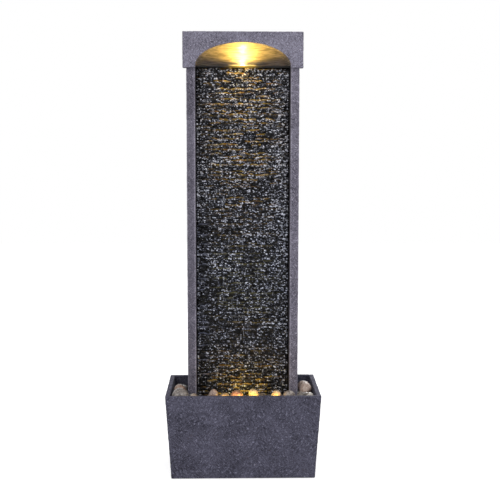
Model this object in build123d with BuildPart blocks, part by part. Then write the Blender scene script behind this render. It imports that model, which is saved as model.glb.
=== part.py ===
from build123d import *
import math
import os

# Garden fountain: a tapered basin, a tall hollow tower with a ledged water panel between two stiles,
# and an arched header block with a lit niche. A pump in the foot of the tower lifts the water to a
# trough behind the top of the panel. Millimetres, +Z up, front towards -Y, origin on the ground
# under the middle of the basin.

# Basin
basin_width = 400
basin_depth = 240
basin_side_lean = 14
basin_front_lean = 10
basin_height = 220
basin_wall = 12
basin_floor = 14
basin_corner = 4
rim_round = 2
ledge_width = 8
ledge_z = 186
lug_width = 8
lug_length = 50
lug_height = 10
lug_front_gap = 2
seat_clearance = 0.5

# Rubber feet and drain plug
foot_radius = 15
foot_thickness = 4
foot_proud = 2
foot_inset = 34
drain_radius = 10
drain_inset_x = 80
drain_inset_y = 40
plug_flange = 4
plug_flange_lap = 4
plug_knob_radius = 5
plug_knob_height = 10

# Tower
tower_width = 290
tower_depth = 118
tower_top = 1063
tower_wall = 10
tower_round = 2.5
tower_back_gap = 8
stile_width = 23
stile_depth = 32
sill_height = 10
sill_z = 46
sill_lip = 2
weep_radius = 22
cleat_width = 22
cleat_height = 12
cleat_length = 40

# Water panel: a plate with stepped ledges in courses that repeat four by four
panel_thickness = 10
panel_edge_gap = 1
panel_top_gap = 2.5
ledge_side_gap = 0.5
course_heights = (12, 8, 8, 11)
ledge_lengths = (46, 71, 58, 83, 39)
ledge_steps = (4.5, 8, 6, 10, 5.5, 9, 7)
ledge_base = 2

# Rails that hold the panel, with their screws
rail_width = 12
rail_thickness = 10
rail_end_gap = 40
rail_screw_count = 4
screw_radius = 1.75
screw_clearance = 0.35
screw_grip = 0.05
screw_bite = 7
screw_head_radius = 3.5
screw_head_height = 2

# Header cap
cap_height = 90
cap_side_overhang = 9
cap_front_overhang = 10
cap_skirt = 8
cap_fascia = 30
cap_round = 2.5
tongue_width = 120
tongue_thickness = 4
tongue_drop = 6
arch_rise = 59
arch_spring = 4
arch_reveal = 28

# Spill trough
trough_wall = 2.5
trough_depth = 33
trough_side_gap = 2
trough_front_gap = 0.5
trough_back_gap = 6
lip_reach = 26
lip_nose = 4
lip_side_gap = 1
lip_drop = 2

# Riser tube, its clips and clamps
tube_outer_radius = 8
tube_inner_radius = 6.1
spigot_radius = 6
spigot_bore = 4.5
spigot_length = 20
tube_end_gap = 1
clip_width = 24
clip_height = 14
clip_wall = 4
clip_clearance = 0.2
clip_mouth = 12
clip_dowel_radius = 3
clip_dowel_length = 6
clip_heights = (540, 820)
clamp_thickness = 1.2
clamp_width = 8
clamp_ear = 7

# Lamps: the same sealed lamp stands in the trough and hangs in the pebble tray
lamp_radius = 11
lamp_height = 28
lamp_flange_radius = 15
lamp_flange = 3
lamp_bore = 9
lamp_well_radius = 7
lamp_floor = 5
lamp_board_depth = 10
lamp_gland_radius = 3.5
lamp_gland_length = 4
board_thickness = 1.6
board_gap = 0.2
chip_size = 3.5
chip_height = 1.2
chip_circle = 4
chip_count = 4
seal_thickness = 1
lens_flange = 2
lens_wall = 2
lens_rise = 6
lens_margin = 0.5
lamp_stand_gap = 1
lamp_seat_clearance = 0.5

# Pebble tray and pebbles
tray_thickness = 4
tray_clearance = 1
tray_rib = 4
tray_rib_depth = 12
tray_rib_inset = 12
slot_width = 6
slot_pitch = 14
slot_margin = 9
slot_edge = 4
side_slot_rows = 3
pebble_gap = 0.6
pebble_rest = 0.1
front_cells = (46, 24, 22, 28, 30, 36, 12, 28, 28, 30, 36, 24, 24)
front_heights = (44, 30, 20, 43, 31, 38, 0, 43, 20, 40, 37, 34, 33)
rear_cells = (42, 38, 44, 36, 48, 36, 44, 38, 42)
rear_heights = (32, 14, 15, 14, 0, 14, 15, 18, 22)
side_cells = (44, 46, 42)
side_heights = ((34, 13, 12), (38, 31, 12))
pebble_lengths = (46, 40, 43, 38, 49)
pebble_widths = (34, 37, 31, 35)
pebble_turns = (18, -32, 41, -12, 65, -50, 8)
pebble_tilts = (14, -20, 9, 22, -11)
pebble_blunt_end = 0.42
pebble_shrink = 0.97

# Rear access cover and cord grommet
cover_width = 170
cover_height = 210
cover_z = 345
cover_thickness = 3
cover_lap = 8
cover_clearance = 0.5
cover_skirt = 9
cover_skirt_wall = 2
finger_radius = 11
finger_drop = 70
grommet_inset = 37
grommet_z = 262
grommet_radius = 8
grommet_bore = 4
grommet_flange_lap = 3
grommet_flange = 2.5
grommet_fit = 0.1

# Pump
pump_width = 46
pump_height = 56
pump_motor_length = 70
pump_gap = 1.5
pump_round = 6
pump_cup_height = 8
pump_inner_round = 4
chamber_radius = 19
chamber_half = 7
well_radius = 10
well_length = 34
outlet_collar_radius = 7
outlet_collar = 3
volute_thickness = 3
intake_radius = 9
spoke_width = 3
hub_radius = 4.5
hub_length = 5.5
rim_fit = 0.2
rim_height = 2
bush_radius = 3
bush_length = 4
bush_fit = 0.05
shaft_radius = 1.5
running_fit = 0.05
rotor_radius = 9
rotor_end_gap = 1
vane_radius = 16
vane_disc = 2
vane_thickness = 2
vane_count = 6
vane_end_gap = 1.5
hub_outer_radius = 4
strainer_length = 28
strainer_wall = 2
strainer_slot = 2.5
strainer_slot_pitch = 5
strainer_slot_margin = 8
dial_radius = 8
dial_thickness = 4
dial_stem_radius = 2.5
dial_stem_fit = 0.1
dial_running_gap = 0.3
dial_grip = 3
dial_grip_height = 4
shutter_thickness = 1.5
shutter_radius = 13
cup_radius = 8
cup_neck_radius = 3
cup_neck_length = 4
cup_lip = 1.5
cup_inset = 11
cup_fit = 0.1

# Places worked out from the sizes above
basin_base_width = basin_width - 2 * basin_side_lean
basin_base_depth = basin_depth - 2 * basin_front_lean
floor_top = foot_proud + basin_floor
tower_back = basin_base_depth / 2 - basin_wall - tower_back_gap
tower_front = tower_back - tower_depth
tower_mid = (tower_front + tower_back) / 2
back_inner = tower_back - tower_wall
side_inner = tower_width / 2 - tower_wall
opening_half = tower_width / 2 - stile_width
grommet_x = grommet_inset - tower_width / 2
shoulder = tower_front + stile_depth
panel_back = shoulder + panel_thickness
sill_top = sill_z + sill_height
cap_bottom = tower_top - cap_skirt
cap_front = tower_front - cap_front_overhang
spring_z = cap_bottom + arch_spring
dome_axis_y = cap_front + arch_reveal
lip_top = tower_top - lip_drop
trough_front = panel_back + trough_front_gap
trough_back = back_inner - trough_back_gap
trough_mid = (trough_front + trough_back) / 2
trough_bottom = lip_top - trough_depth
trough_floor = trough_bottom + trough_wall
panel_top = lip_top - trough_wall - panel_top_gap
riser_y = back_inner - pump_gap - pump_width / 2
pump_bottom = floor_top + pump_cup_height
pump_axis_z = pump_bottom + pump_height / 2
pump_top = pump_bottom + pump_height
tray_top = ledge_z + tray_thickness
upper_lamp_y = trough_front + trough_wall + lamp_flange_radius + lamp_stand_gap


def basin_half_width(z):
    rise = (z - foot_proud) / (basin_height - foot_proud)
    return (basin_base_width + (basin_width - basin_base_width) * rise) / 2


def basin_half_depth(z):
    rise = (z - foot_proud) / (basin_height - foot_proud)
    return (basin_base_depth + (basin_depth - basin_base_depth) * rise) / 2


os.makedirs("parts", exist_ok=True)


def save(piece, name):
    piece.label = name
    export_step(piece, f"parts/{name}.step")


# Basin: a lofted box with a stepped cavity, lugs that locate the tower, a drain and pockets for feet
foot_spots = [
    (side * (basin_base_width / 2 - foot_inset), end * (basin_base_depth / 2 - foot_inset))
    for side in (-1, 1)
    for end in (-1, 1)
]
drain_x = -(basin_base_width / 2 - drain_inset_x)
drain_y = -(basin_base_depth / 2 - drain_inset_y)
lug_x = tower_width / 2 + seat_clearance + lug_width / 2
lug_y = tower_front + lug_front_gap + lug_length / 2

with BuildPart() as basin:
    for level in (foot_proud, basin_height):
        with BuildSketch(Plane.XY.offset(level)):
            RectangleRounded(2 * basin_half_width(level), 2 * basin_half_depth(level), basin_corner)
    loft(ruled=True)
    for level in (ledge_z, basin_height):
        with BuildSketch(Plane.XY.offset(level)):
            Rectangle(
                2 * (basin_half_width(level) - basin_wall), 2 * (basin_half_depth(level) - basin_wall)
            )
    loft(ruled=True, mode=Mode.SUBTRACT)
    for level in (floor_top, ledge_z):
        with BuildSketch(Plane.XY.offset(level)):
            with Locations((0, ledge_width / 2)):
                Rectangle(
                    2 * (basin_half_width(level) - basin_wall - ledge_width),
                    2 * (basin_half_depth(level) - basin_wall) - ledge_width,
                )
    loft(ruled=True, mode=Mode.SUBTRACT)
    with BuildSketch(Plane.XY.offset(floor_top)):
        for side in (-1, 1):
            with Locations((side * lug_x, lug_y)):
                Rectangle(lug_width, lug_length)
            with Locations((side * (side_inner - lug_length / 2), tower_back + seat_clearance)):
                Rectangle(lug_length, tower_back_gap, align=(Align.CENTER, Align.MIN))
    extrude(amount=lug_height)
    with Locations((drain_x, drain_y, floor_top)):
        Hole(drain_radius, depth=basin_floor)
    with BuildSketch(Plane.XY.offset(foot_proud)):
        with Locations(*foot_spots):
            Circle(foot_radius + seat_clearance)
    extrude(amount=foot_thickness - foot_proud, mode=Mode.SUBTRACT)
    fillet(basin.edges().group_by(Axis.Z)[-1], radius=rim_round)
save(basin.part, "basin")

with BuildPart() as feet:
    with BuildSketch():
        with Locations(*foot_spots):
            Circle(foot_radius)
    extrude(amount=foot_thickness)
save(feet.part, "feet")

# Drain plug: a rubber bung with a flange on the basin floor and a knob to pull it up by
with BuildPart() as drain_plug:
    with BuildSketch(Plane.XY.offset(foot_proud)):
        with Locations((drain_x, drain_y)):
            Circle(drain_radius - seat_clearance / 2)
    extrude(amount=basin_floor)
    with BuildSketch(Plane.XY.offset(floor_top)):
        with Locations((drain_x, drain_y)):
            Circle(drain_radius + plug_flange_lap)
    extrude(amount=plug_flange)
    with BuildSketch(Plane.XY.offset(floor_top + plug_flange)):
        with Locations((drain_x, drain_y)):
            Circle(plug_knob_radius)
    extrude(amount=plug_knob_height)
    fillet(drain_plug.edges().group_by(Axis.Z)[-1], radius=plug_knob_radius / 2)
save(drain_plug.part, "drain_plug")

# Tower: a tall channel with thick stiles in front, open at the top and at the front
rail_bottom = sill_top + rail_end_gap
rail_top = trough_bottom - cleat_height - rail_end_gap
rail_mid_y = panel_back + rail_thickness / 2
rail_screw_zs = [
    rail_bottom + (rail_top - rail_bottom) * (index + 0.5) / rail_screw_count
    for index in range(rail_screw_count)
]
back_plane = Plane.XZ.offset(-tower_back)

with BuildPart() as tower_shell:
    with BuildSketch(Plane.XY.offset(floor_top)):
        with Locations((0, tower_mid)):
            Rectangle(tower_width, tower_depth)
        with Locations((0, tower_front)):
            Rectangle(
                2 * opening_half, stile_depth, align=(Align.CENTER, Align.MIN), mode=Mode.SUBTRACT
            )
        with Locations((0, shoulder)):
            Rectangle(
                2 * side_inner,
                back_inner - shoulder,
                align=(Align.CENTER, Align.MIN),
                mode=Mode.SUBTRACT,
            )
    extrude(amount=tower_top - floor_top)
    outer_corners = tower_shell.edges().filter_by(Axis.Z).filter_by(
        lambda edge: abs(abs(edge.center().X) - tower_width / 2) < 0.1
    )
    fillet(outer_corners, radius=tower_round)
    with BuildSketch(Plane.XY.offset(sill_z)):
        with Locations((0, shoulder)):
            Rectangle(2 * side_inner, panel_thickness + sill_lip, align=(Align.CENTER, Align.MIN))
    extrude(amount=sill_height)
    with BuildSketch(Plane.XY.offset(trough_bottom)):
        for side in (-1, 1):
            with Locations((side * (side_inner - cleat_width / 2), trough_mid)):
                Rectangle(cleat_width, cleat_length)
    extrude(amount=-cleat_height)
    with BuildSketch(Plane.YZ.offset(-tower_width / 2)):
        with Locations((riser_y, floor_top)):
            Circle(weep_radius)
    extrude(amount=tower_width, mode=Mode.SUBTRACT)
    with BuildSketch(back_plane):
        with Locations((0, cover_z)):
            Rectangle(cover_width - 2 * cover_lap, cover_height - 2 * cover_lap)
        with Locations((grommet_x, grommet_z)):
            Circle(grommet_radius + grommet_fit)
    extrude(amount=tower_wall, mode=Mode.SUBTRACT)
    with BuildSketch(back_plane):
        with Locations((0, cover_z)):
            Rectangle(cover_width + 2 * cover_clearance, cover_height + 2 * cover_clearance)
    extrude(amount=cover_thickness, mode=Mode.SUBTRACT)
    with BuildSketch(Plane.XZ.offset(-back_inner)):
        with Locations(*[(0, height) for height in clip_heights]):
            Circle(clip_dowel_radius + clip_clearance)
    extrude(amount=-clip_dowel_length, mode=Mode.SUBTRACT)
    for side in (-1, 1):
        with BuildSketch(Plane.YZ.offset(side * side_inner)):
            with Locations(*[(rail_mid_y, height) for height in rail_screw_zs]):
                Circle(screw_radius + screw_grip)
        extrude(amount=side * screw_bite, mode=Mode.SUBTRACT)
save(tower_shell.part, "tower_shell")


# Water panel: a plate behind the stiles with stepped ledges in front, course on course
def ledge_course(index, bottom):
    half = opening_half - ledge_side_gap
    points = [(-half, shoulder)]
    left = -half
    stone = index
    while left < half:
        first = left == -half
        length = ledge_lengths[(stone * 2 + index) % len(ledge_lengths)]
        right = left + (length * (0.4 + 0.3 * (index % 3)) if first else length)
        right = half if right > half - min(ledge_lengths) / 2 else right
        face = shoulder - ledge_base - ledge_steps[(stone * 3 + index * 4) % len(ledge_steps)]
        points += [(left, face), (right, face)]
        left = right
        stone += 1
    points.append((half, shoulder))
    with BuildPart() as course:
        with BuildSketch(Plane.XY.offset(bottom)):
            with BuildLine():
                Polyline(*points, close=True)
            make_face()
        extrude(amount=course_heights[index % len(course_heights)])
    return course.part


ledges = []
course_bottom = ledge_z
while course_bottom + course_heights[len(ledges) % len(course_heights)] <= panel_top:
    ledges.append(ledge_course(len(ledges), course_bottom))
    course_bottom += course_heights[(len(ledges) - 1) % len(course_heights)]

with BuildPart() as water_panel:
    with BuildSketch(Plane.XY.offset(sill_top)):
        with Locations((0, shoulder)):
            Rectangle(
                2 * (side_inner - panel_edge_gap), panel_thickness, align=(Align.CENTER, Align.MIN)
            )
    extrude(amount=panel_top - sill_top)
    add(ledges)
save(water_panel.part, "water_panel")

# Rails: strips behind the panel's edges, screwed sideways into the tower
with BuildPart() as panel_rails:
    with BuildSketch(Plane.XY.offset(rail_bottom)):
        for side in (-1, 1):
            with Locations((side * (side_inner - rail_width / 2), rail_mid_y)):
                Rectangle(rail_width, rail_thickness)
    extrude(amount=rail_top - rail_bottom)
    with BuildSketch(Plane.YZ.offset(-side_inner)):
        with Locations(*[(rail_mid_y, height) for height in rail_screw_zs]):
            Circle(screw_radius + screw_clearance)
    extrude(amount=2 * side_inner, mode=Mode.SUBTRACT)
save(panel_rails.part, "panel_rails")

with BuildPart() as rail_screws:
    for side in (-1, 1):
        with BuildSketch(Plane.YZ.offset(side * (side_inner - rail_width))):
            with Locations(*[(rail_mid_y, height) for height in rail_screw_zs]):
                Circle(screw_radius)
        extrude(amount=side * (rail_width + screw_bite - screw_clearance))
        with BuildSketch(Plane.YZ.offset(side * (side_inner - rail_width))):
            with Locations(*[(rail_mid_y, height) for height in rail_screw_zs]):
                Circle(screw_head_radius)
        extrude(amount=-side * screw_head_height)
save(rail_screws.part, "rail_screws")

# Header cap: a block on the tower's top with an arched fascia that laps the stiles, a half-domed niche and a
# tongue that drops inside the tower's back wall
fascia_back = cap_front + cap_fascia
with BuildPart() as header_cap:
    with BuildSketch(Plane.XY.offset(cap_bottom)):
        with Locations((0, (cap_front + fascia_back) / 2)):
            Rectangle(tower_width + 2 * cap_side_overhang, cap_fascia)
    extrude(amount=cap_height)
    with BuildSketch(Plane.XY.offset(tower_top)):
        with Locations((0, (fascia_back + tower_back) / 2)):
            Rectangle(tower_width, tower_back - fascia_back)
    extrude(amount=cap_height - cap_skirt)
    upright_edges = header_cap.edges().filter_by(Axis.Z)
    outer_edges = upright_edges.filter_by(
        lambda edge: abs(edge.center().Y - fascia_back) > 0.1 or abs(edge.center().X) > tower_width / 2 + 0.1
    )
    fillet(outer_edges + header_cap.edges().group_by(Axis.Z)[-1], radius=cap_round)
    with BuildSketch(Plane.XY.offset(cap_bottom)):
        with Locations((0, tower_mid)):
            Rectangle(tower_width + 2 * seat_clearance, tower_depth + 2 * seat_clearance)
    extrude(amount=cap_skirt, mode=Mode.SUBTRACT)
    with BuildSketch(Plane.XY.offset(tower_top)):
        with Locations((0, back_inner - seat_clearance - tongue_thickness / 2)):
            Rectangle(tongue_width, tongue_thickness)
    extrude(amount=-tongue_drop)
    with BuildSketch(Plane.XZ.offset(-cap_front)):
        with BuildLine():
            EllipticalCenterArc((0, spring_z), opening_half, arch_rise, arc_size=180)
            Polyline(
                (-opening_half, spring_z),
                (-opening_half, cap_bottom),
                (opening_half, cap_bottom),
                (opening_half, spring_z),
            )
        make_face()
    extrude(amount=-arch_reveal, mode=Mode.SUBTRACT)
    with BuildSketch(Plane.XZ.offset(-dome_axis_y)):
        with BuildLine():
            EllipticalCenterArc((0, spring_z), opening_half, arch_rise, arc_size=180)
            Line((-opening_half, spring_z), (opening_half, spring_z))
        make_face()
    revolve(
        axis=Axis((0, dome_axis_y, spring_z), (-1, 0, 0)), revolution_arc=90, mode=Mode.SUBTRACT
    )
save(header_cap.part, "header_cap")

# Spill trough: an open tray behind the panel's top, with a lip over it that ends in a drip nose
trough_half = side_inner - trough_side_gap
lip_half = opening_half - lip_side_gap
lip_front = trough_front - lip_reach

with BuildPart() as spill_trough:
    with BuildSketch(Plane.XY.offset(trough_bottom)):
        with Locations((0, trough_mid)):
            Rectangle(2 * trough_half, trough_back - trough_front)
    extrude(amount=trough_depth)
    with BuildSketch(Plane.XY.offset(trough_floor)):
        with Locations((0, trough_mid)):
            Rectangle(
                2 * (trough_half - trough_wall), trough_back - trough_front - 2 * trough_wall
            )
    extrude(amount=trough_depth, mode=Mode.SUBTRACT)
    with BuildSketch(Plane.YZ.offset(-lip_half)):
        with BuildLine():
            Polyline(
                (trough_front, lip_top),
                (lip_front, lip_top),
                (lip_front, lip_top - lip_nose),
                (lip_front + trough_wall, lip_top - lip_nose),
                (lip_front + trough_wall, lip_top - trough_wall),
                (trough_front, lip_top - trough_wall),
                close=True,
            )
        make_face()
    extrude(amount=2 * lip_half)
    with BuildSketch(Plane.XY.offset(trough_bottom)):
        with Locations((0, riser_y)):
            Circle(spigot_radius)
    extrude(amount=-spigot_length)
    with BuildSketch(Plane.XY.offset(trough_floor)):
        with Locations((0, riser_y)):
            Circle(spigot_bore)
    extrude(amount=-(spigot_length + trough_wall), mode=Mode.SUBTRACT)
save(spill_trough.part, "spill_trough")

# Riser tube from the pump's outlet to the trough, with a clamp at each end and two push-in clips
tube_bottom = pump_top + outlet_collar + tube_end_gap
tube_top = trough_bottom - tube_end_gap
clamp_zs = (tube_bottom + spigot_length / 2, tube_top - spigot_length / 2)

with BuildPart() as riser_tube:
    with BuildSketch(Plane.XY.offset(tube_bottom)):
        with Locations((0, riser_y)):
            Circle(tube_outer_radius)
            Circle(tube_inner_radius, mode=Mode.SUBTRACT)
    extrude(amount=tube_top - tube_bottom)
save(riser_tube.part, "riser_tube")

clamp_inner = tube_outer_radius + seat_clearance / 2
with BuildPart() as hose_clamps:
    for level in clamp_zs:
        with BuildSketch(Plane.XY.offset(level - clamp_width / 2)):
            with Locations((0, riser_y)):
                Circle(clamp_inner + clamp_thickness)
            with Locations((clamp_inner + clamp_ear / 2, riser_y)):
                Rectangle(clamp_ear, 3 * clamp_thickness)
            with Locations((0, riser_y)):
                Circle(clamp_inner, mode=Mode.SUBTRACT)
        extrude(amount=clamp_width)
save(hose_clamps.part, "hose_clamps")

clip_bore = tube_outer_radius + clip_clearance
with BuildPart() as tube_clips:
    for level in clip_heights:
        with BuildSketch(Plane.XY.offset(level - clip_height / 2)):
            with Locations((0, riser_y)):
                Circle(clip_bore + clip_wall)
                Rectangle(clip_width, back_inner - riser_y, align=(Align.CENTER, Align.MIN))
                Circle(clip_bore, mode=Mode.SUBTRACT)
                Rectangle(
                    clip_mouth,
                    clip_bore + clip_wall,
                    align=(Align.CENTER, Align.MAX),
                    mode=Mode.SUBTRACT,
                )
        extrude(amount=clip_height)
    with BuildSketch(Plane.XZ.offset(-back_inner)):
        with Locations(*[(0, height) for height in clip_heights]):
            Circle(clip_dowel_radius)
    extrude(amount=-(clip_dowel_length - clip_clearance))
save(tube_clips.part, "tube_clips")


# Sealed lamp: a cup with a flange, a board with its light chips, a seal and a domed lens
def lamp_cup(base):
    with BuildPart() as cup:
        with BuildSketch(base):
            Circle(lamp_radius)
        extrude(amount=lamp_height - lamp_flange)
        with BuildSketch(base.offset(lamp_height - lamp_flange)):
            Circle(lamp_flange_radius)
        extrude(amount=lamp_flange)
        with BuildSketch(base.offset(lamp_floor)):
            Circle(lamp_well_radius)
        extrude(amount=lamp_height - lamp_floor, mode=Mode.SUBTRACT)
        with BuildSketch(base.offset(lamp_height - lamp_board_depth)):
            Circle(lamp_bore)
        extrude(amount=lamp_board_depth, mode=Mode.SUBTRACT)
        gland_centre = base.origin + Vector(0, 0, lamp_floor + lamp_gland_radius)
        with BuildSketch(Plane(gland_centre, x_dir=(0, 1, 0), z_dir=(1, 0, 0))):
            Circle(lamp_gland_radius)
        extrude(amount=lamp_radius + lamp_gland_length)
        with BuildSketch(base.offset(lamp_floor)):
            Circle(lamp_well_radius)
        extrude(amount=lamp_height - lamp_floor, mode=Mode.SUBTRACT)
    return cup.part


def lamp_board(base):
    with BuildPart() as board:
        with BuildSketch(base.offset(lamp_height - lamp_board_depth)):
            Circle(lamp_bore - board_gap)
        extrude(amount=board_thickness)
    return board.part


def lamp_chips(base):
    with BuildPart() as chips:
        with BuildSketch(base.offset(lamp_height - lamp_board_depth + board_thickness)):
            with PolarLocations(chip_circle, chip_count):
                Rectangle(chip_size, chip_size)
        extrude(amount=chip_height)
    return chips.part


def lamp_seal(base):
    with BuildPart() as seal:
        with BuildSketch(base.offset(lamp_height)):
            Circle(lamp_flange_radius - lens_margin)
            Circle(lamp_bore, mode=Mode.SUBTRACT)
        extrude(amount=seal_thickness)
    return seal.part


def lamp_lens(base):
    seat = lamp_height + seal_thickness
    crown = seat + lens_flange
    ball = (lamp_radius**2 + lens_rise**2) / (2 * lens_rise)
    ball_z = crown + lens_rise - ball
    inner = math.sqrt((ball - lens_wall) ** 2 - (crown - ball_z) ** 2)
    rim_angle = math.degrees(math.asin((crown - ball_z) / ball))
    inner_angle = math.degrees(math.asin((crown - ball_z) / (ball - lens_wall)))
    with BuildPart() as lens:
        with BuildSketch(Plane(base.origin, x_dir=(1, 0, 0), z_dir=(0, -1, 0))):
            with BuildLine():
                Polyline(
                    (inner, crown),
                    (inner, seat),
                    (lamp_flange_radius - lens_margin, seat),
                    (lamp_flange_radius - lens_margin, crown),
                    (lamp_radius, crown),
                )
                CenterArc((0, ball_z), ball, rim_angle, 90 - rim_angle)
                Line((0, ball_z + ball), (0, ball_z + ball - lens_wall))
                CenterArc((0, ball_z), ball - lens_wall, inner_angle, 90 - inner_angle)
            make_face()
        revolve(axis=Axis(base.origin, (0, 0, 1)))
    return lens.part


# Pebble tray: a slotted plate on the basin's ledge that fits round the tower, with a seat for a lamp
tray_half = basin_half_width(ledge_z) - basin_wall - tray_clearance
tray_front = -(basin_half_depth(ledge_z) - basin_wall - tray_clearance)
tray_back = -tray_front
tray_notch_half = tower_width / 2 + lug_width / 2
tray_notch_front = tower_front - tray_clearance
front_depth = tray_notch_front - tray_front
side_depth = tray_back - tray_notch_front
row_ys = (tray_front + front_depth / 4, tray_front + 3 * front_depth / 4)
lower_lamp_y = row_ys[1]
lower_lamp_base = tray_top - (lamp_height - lamp_flange)
slot_length = front_depth / 2 - slot_margin
side_room = tray_half - tray_notch_half
side_slot_pitch = side_depth / side_slot_rows
side_slot_length = side_slot_pitch - slot_margin
side_slot_columns = int((side_room - 2 * slot_edge - slot_width) // slot_pitch) + 1
slot_count = int((2 * tray_half - 2 * slot_margin) // slot_pitch)

with BuildPart() as pebble_tray:
    with BuildSketch(Plane.XY.offset(ledge_z)):
        Rectangle(2 * tray_half, tray_back - tray_front)
        with Locations((0, tray_notch_front)):
            Rectangle(
                2 * tray_notch_half, side_depth, align=(Align.CENTER, Align.MIN), mode=Mode.SUBTRACT
            )
        for row in row_ys:
            with Locations((0, row)):
                with GridLocations(slot_pitch, 0, slot_count, 1):
                    SlotOverall(slot_length, slot_width, rotation=90, mode=Mode.SUBTRACT)
        for side in (-1, 1):
            middle = ((tray_half + tray_notch_half) / 2 * side, tray_notch_front + side_depth / 2)
            with Locations(middle):
                with GridLocations(slot_pitch, side_slot_pitch, side_slot_columns, side_slot_rows):
                    SlotOverall(side_slot_length, slot_width, rotation=90, mode=Mode.SUBTRACT)
        with Locations((0, lower_lamp_y)):
            Circle(lamp_flange_radius)
    extrude(amount=tray_thickness)
    with BuildSketch(Plane.XY.offset(ledge_z)):
        with Locations((0, tray_notch_front)):
            Rectangle(
                2 * (tray_notch_half - tray_rib_inset), tray_rib, align=(Align.CENTER, Align.MAX)
            )
    extrude(amount=-tray_rib_depth)
    with BuildSketch(Plane.XY.offset(tray_top)):
        with Locations((0, lower_lamp_y)):
            Circle(lamp_radius + lamp_seat_clearance)
    extrude(amount=-(tray_thickness + tray_rib_depth), mode=Mode.SUBTRACT)
save(pebble_tray.part, "pebble_tray")

# Lamps in their places
lamp_bases = {
    "upper_lamp": Plane((0, upper_lamp_y, trough_floor)),
    "lower_lamp": Plane((0, lower_lamp_y, lower_lamp_base)),
}
for name, base in lamp_bases.items():
    save(lamp_cup(base), f"{name}_body")
    save(lamp_board(base), f"{name}_board")
    save(lamp_chips(base), f"{name}_chips")
    save(lamp_seal(base), f"{name}_seal")
    save(lamp_lens(base), f"{name}_lens")


# Pebbles: flattened egg shapes, turned and tilted, each shrunk to the cell of the tray that it lies in
def pebble_reach(halves, turn, tilt, direction):
    x, y, z = direction
    along = math.cos(turn) * x + math.sin(turn) * y
    across = math.cos(turn) * y - math.sin(turn) * x
    forward = math.cos(tilt) * along - math.sin(tilt) * z
    up = math.sin(tilt) * along + math.cos(tilt) * z
    blunt, sharp, side, top = halves
    return math.hypot((sharp if forward > 0 else blunt) * forward, side * across, top * up)


def pebble_halves(length, width, height):
    return length * pebble_blunt_end, length * (1 - pebble_blunt_end), width / 2, height / 2


def pebble(index, centre, room, height):
    length = pebble_lengths[index % len(pebble_lengths)]
    width = pebble_widths[index % len(pebble_widths)]
    turn = math.radians(pebble_turns[index % len(pebble_turns)])
    tilt = math.radians(pebble_tilts[index % len(pebble_tilts)])
    sides = ((1, 0, 0), (-1, 0, 0), (0, 1, 0), (0, -1, 0), (0, 0, -1))
    for attempt in range(100):
        halves = pebble_halves(length, width, height)
        right, left, back, front, down = [pebble_reach(halves, turn, tilt, side) for side in sides]
        if right + left < room[0] - pebble_gap and back + front < room[1] - pebble_gap:
            break
        length *= pebble_shrink
        width *= pebble_shrink
        tilt *= pebble_shrink
    blunt, sharp, side, top = halves
    with BuildPart() as stone:
        with BuildSketch():
            with BuildLine():
                EllipticalCenterArc((0, 0), sharp, side, arc_size=90)
                EllipticalCenterArc((0, 0), blunt, side, start_angle=90, arc_size=90)
                Line((-blunt, 0), (sharp, 0))
            make_face()
        revolve(axis=Axis.X)
        scale(by=(1, 1, top / side))
    spot = Pos(
        centre[0] + (left - right) / 2,
        centre[1] + (front - back) / 2,
        tray_top + pebble_rest + down,
    )
    return spot * Rot(0, 0, math.degrees(turn)) * Rot(0, math.degrees(tilt), 0) * stone.part


def cell_centres(cells, start, length):
    scale_to_fit = length / sum(cells)
    return [
        (start + scale_to_fit * (sum(cells[:index]) + cell / 2), scale_to_fit * cell)
        for index, cell in enumerate(cells)
    ]


stones = []
for cells, heights, row in ((front_cells, front_heights, 0), (rear_cells, rear_heights, 1)):
    for (x, room), height in zip(cell_centres(cells, -tray_half, 2 * tray_half), heights):
        if height:
            stones.append(pebble(len(stones), (x, row_ys[row]), (room, front_depth / 2), height))
for side, heights in zip((-1, 1), side_heights):
    for (y, room), height in zip(cell_centres(side_cells, tray_notch_front, side_depth), heights):
        spot = (side * (tray_half + tray_notch_half) / 2, y)
        stones.append(pebble(len(stones), spot, (side_room, room), height))

with BuildPart() as pebbles:
    add(stones)
save(pebbles.part, "pebbles")

# Rear access cover: a plate let into the tower's back with a skirt in the window and a finger hole
with BuildPart() as back_cover:
    with BuildSketch(back_plane):
        with Locations((0, cover_z)):
            Rectangle(cover_width, cover_height)
        with Locations((0, cover_z + finger_drop)):
            Circle(finger_radius, mode=Mode.SUBTRACT)
    extrude(amount=cover_thickness)
    window_width = cover_width - 2 * cover_lap - 2 * cover_clearance
    window_height = cover_height - 2 * cover_lap - 2 * cover_clearance
    with BuildSketch(back_plane.offset(cover_thickness)):
        with Locations((0, cover_z)):
            Rectangle(window_width, window_height)
            Rectangle(
                window_width - 2 * cover_skirt_wall,
                window_height - 2 * cover_skirt_wall,
                mode=Mode.SUBTRACT,
            )
    extrude(amount=cover_skirt)
save(back_cover.part, "back_cover")

with BuildPart() as cord_grommet:
    with BuildSketch(back_plane.offset(-grommet_flange)):
        with Locations((grommet_x, grommet_z)):
            Circle(grommet_radius + grommet_flange_lap)
    extrude(amount=grommet_flange)
    with BuildSketch(back_plane):
        with Locations((grommet_x, grommet_z)):
            Circle(grommet_radius)
    extrude(amount=tower_wall)
    with BuildSketch(back_plane.offset(tower_wall)):
        with Locations((grommet_x, grommet_z)):
            Circle(grommet_radius + grommet_flange_lap)
    extrude(amount=grommet_flange)
    with BuildSketch(back_plane.offset(-grommet_flange)):
        with Locations((grommet_x, grommet_z)):
            Circle(grommet_bore)
    extrude(amount=tower_wall + 2 * grommet_flange, mode=Mode.SUBTRACT)
save(cord_grommet.part, "cord_grommet")

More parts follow.
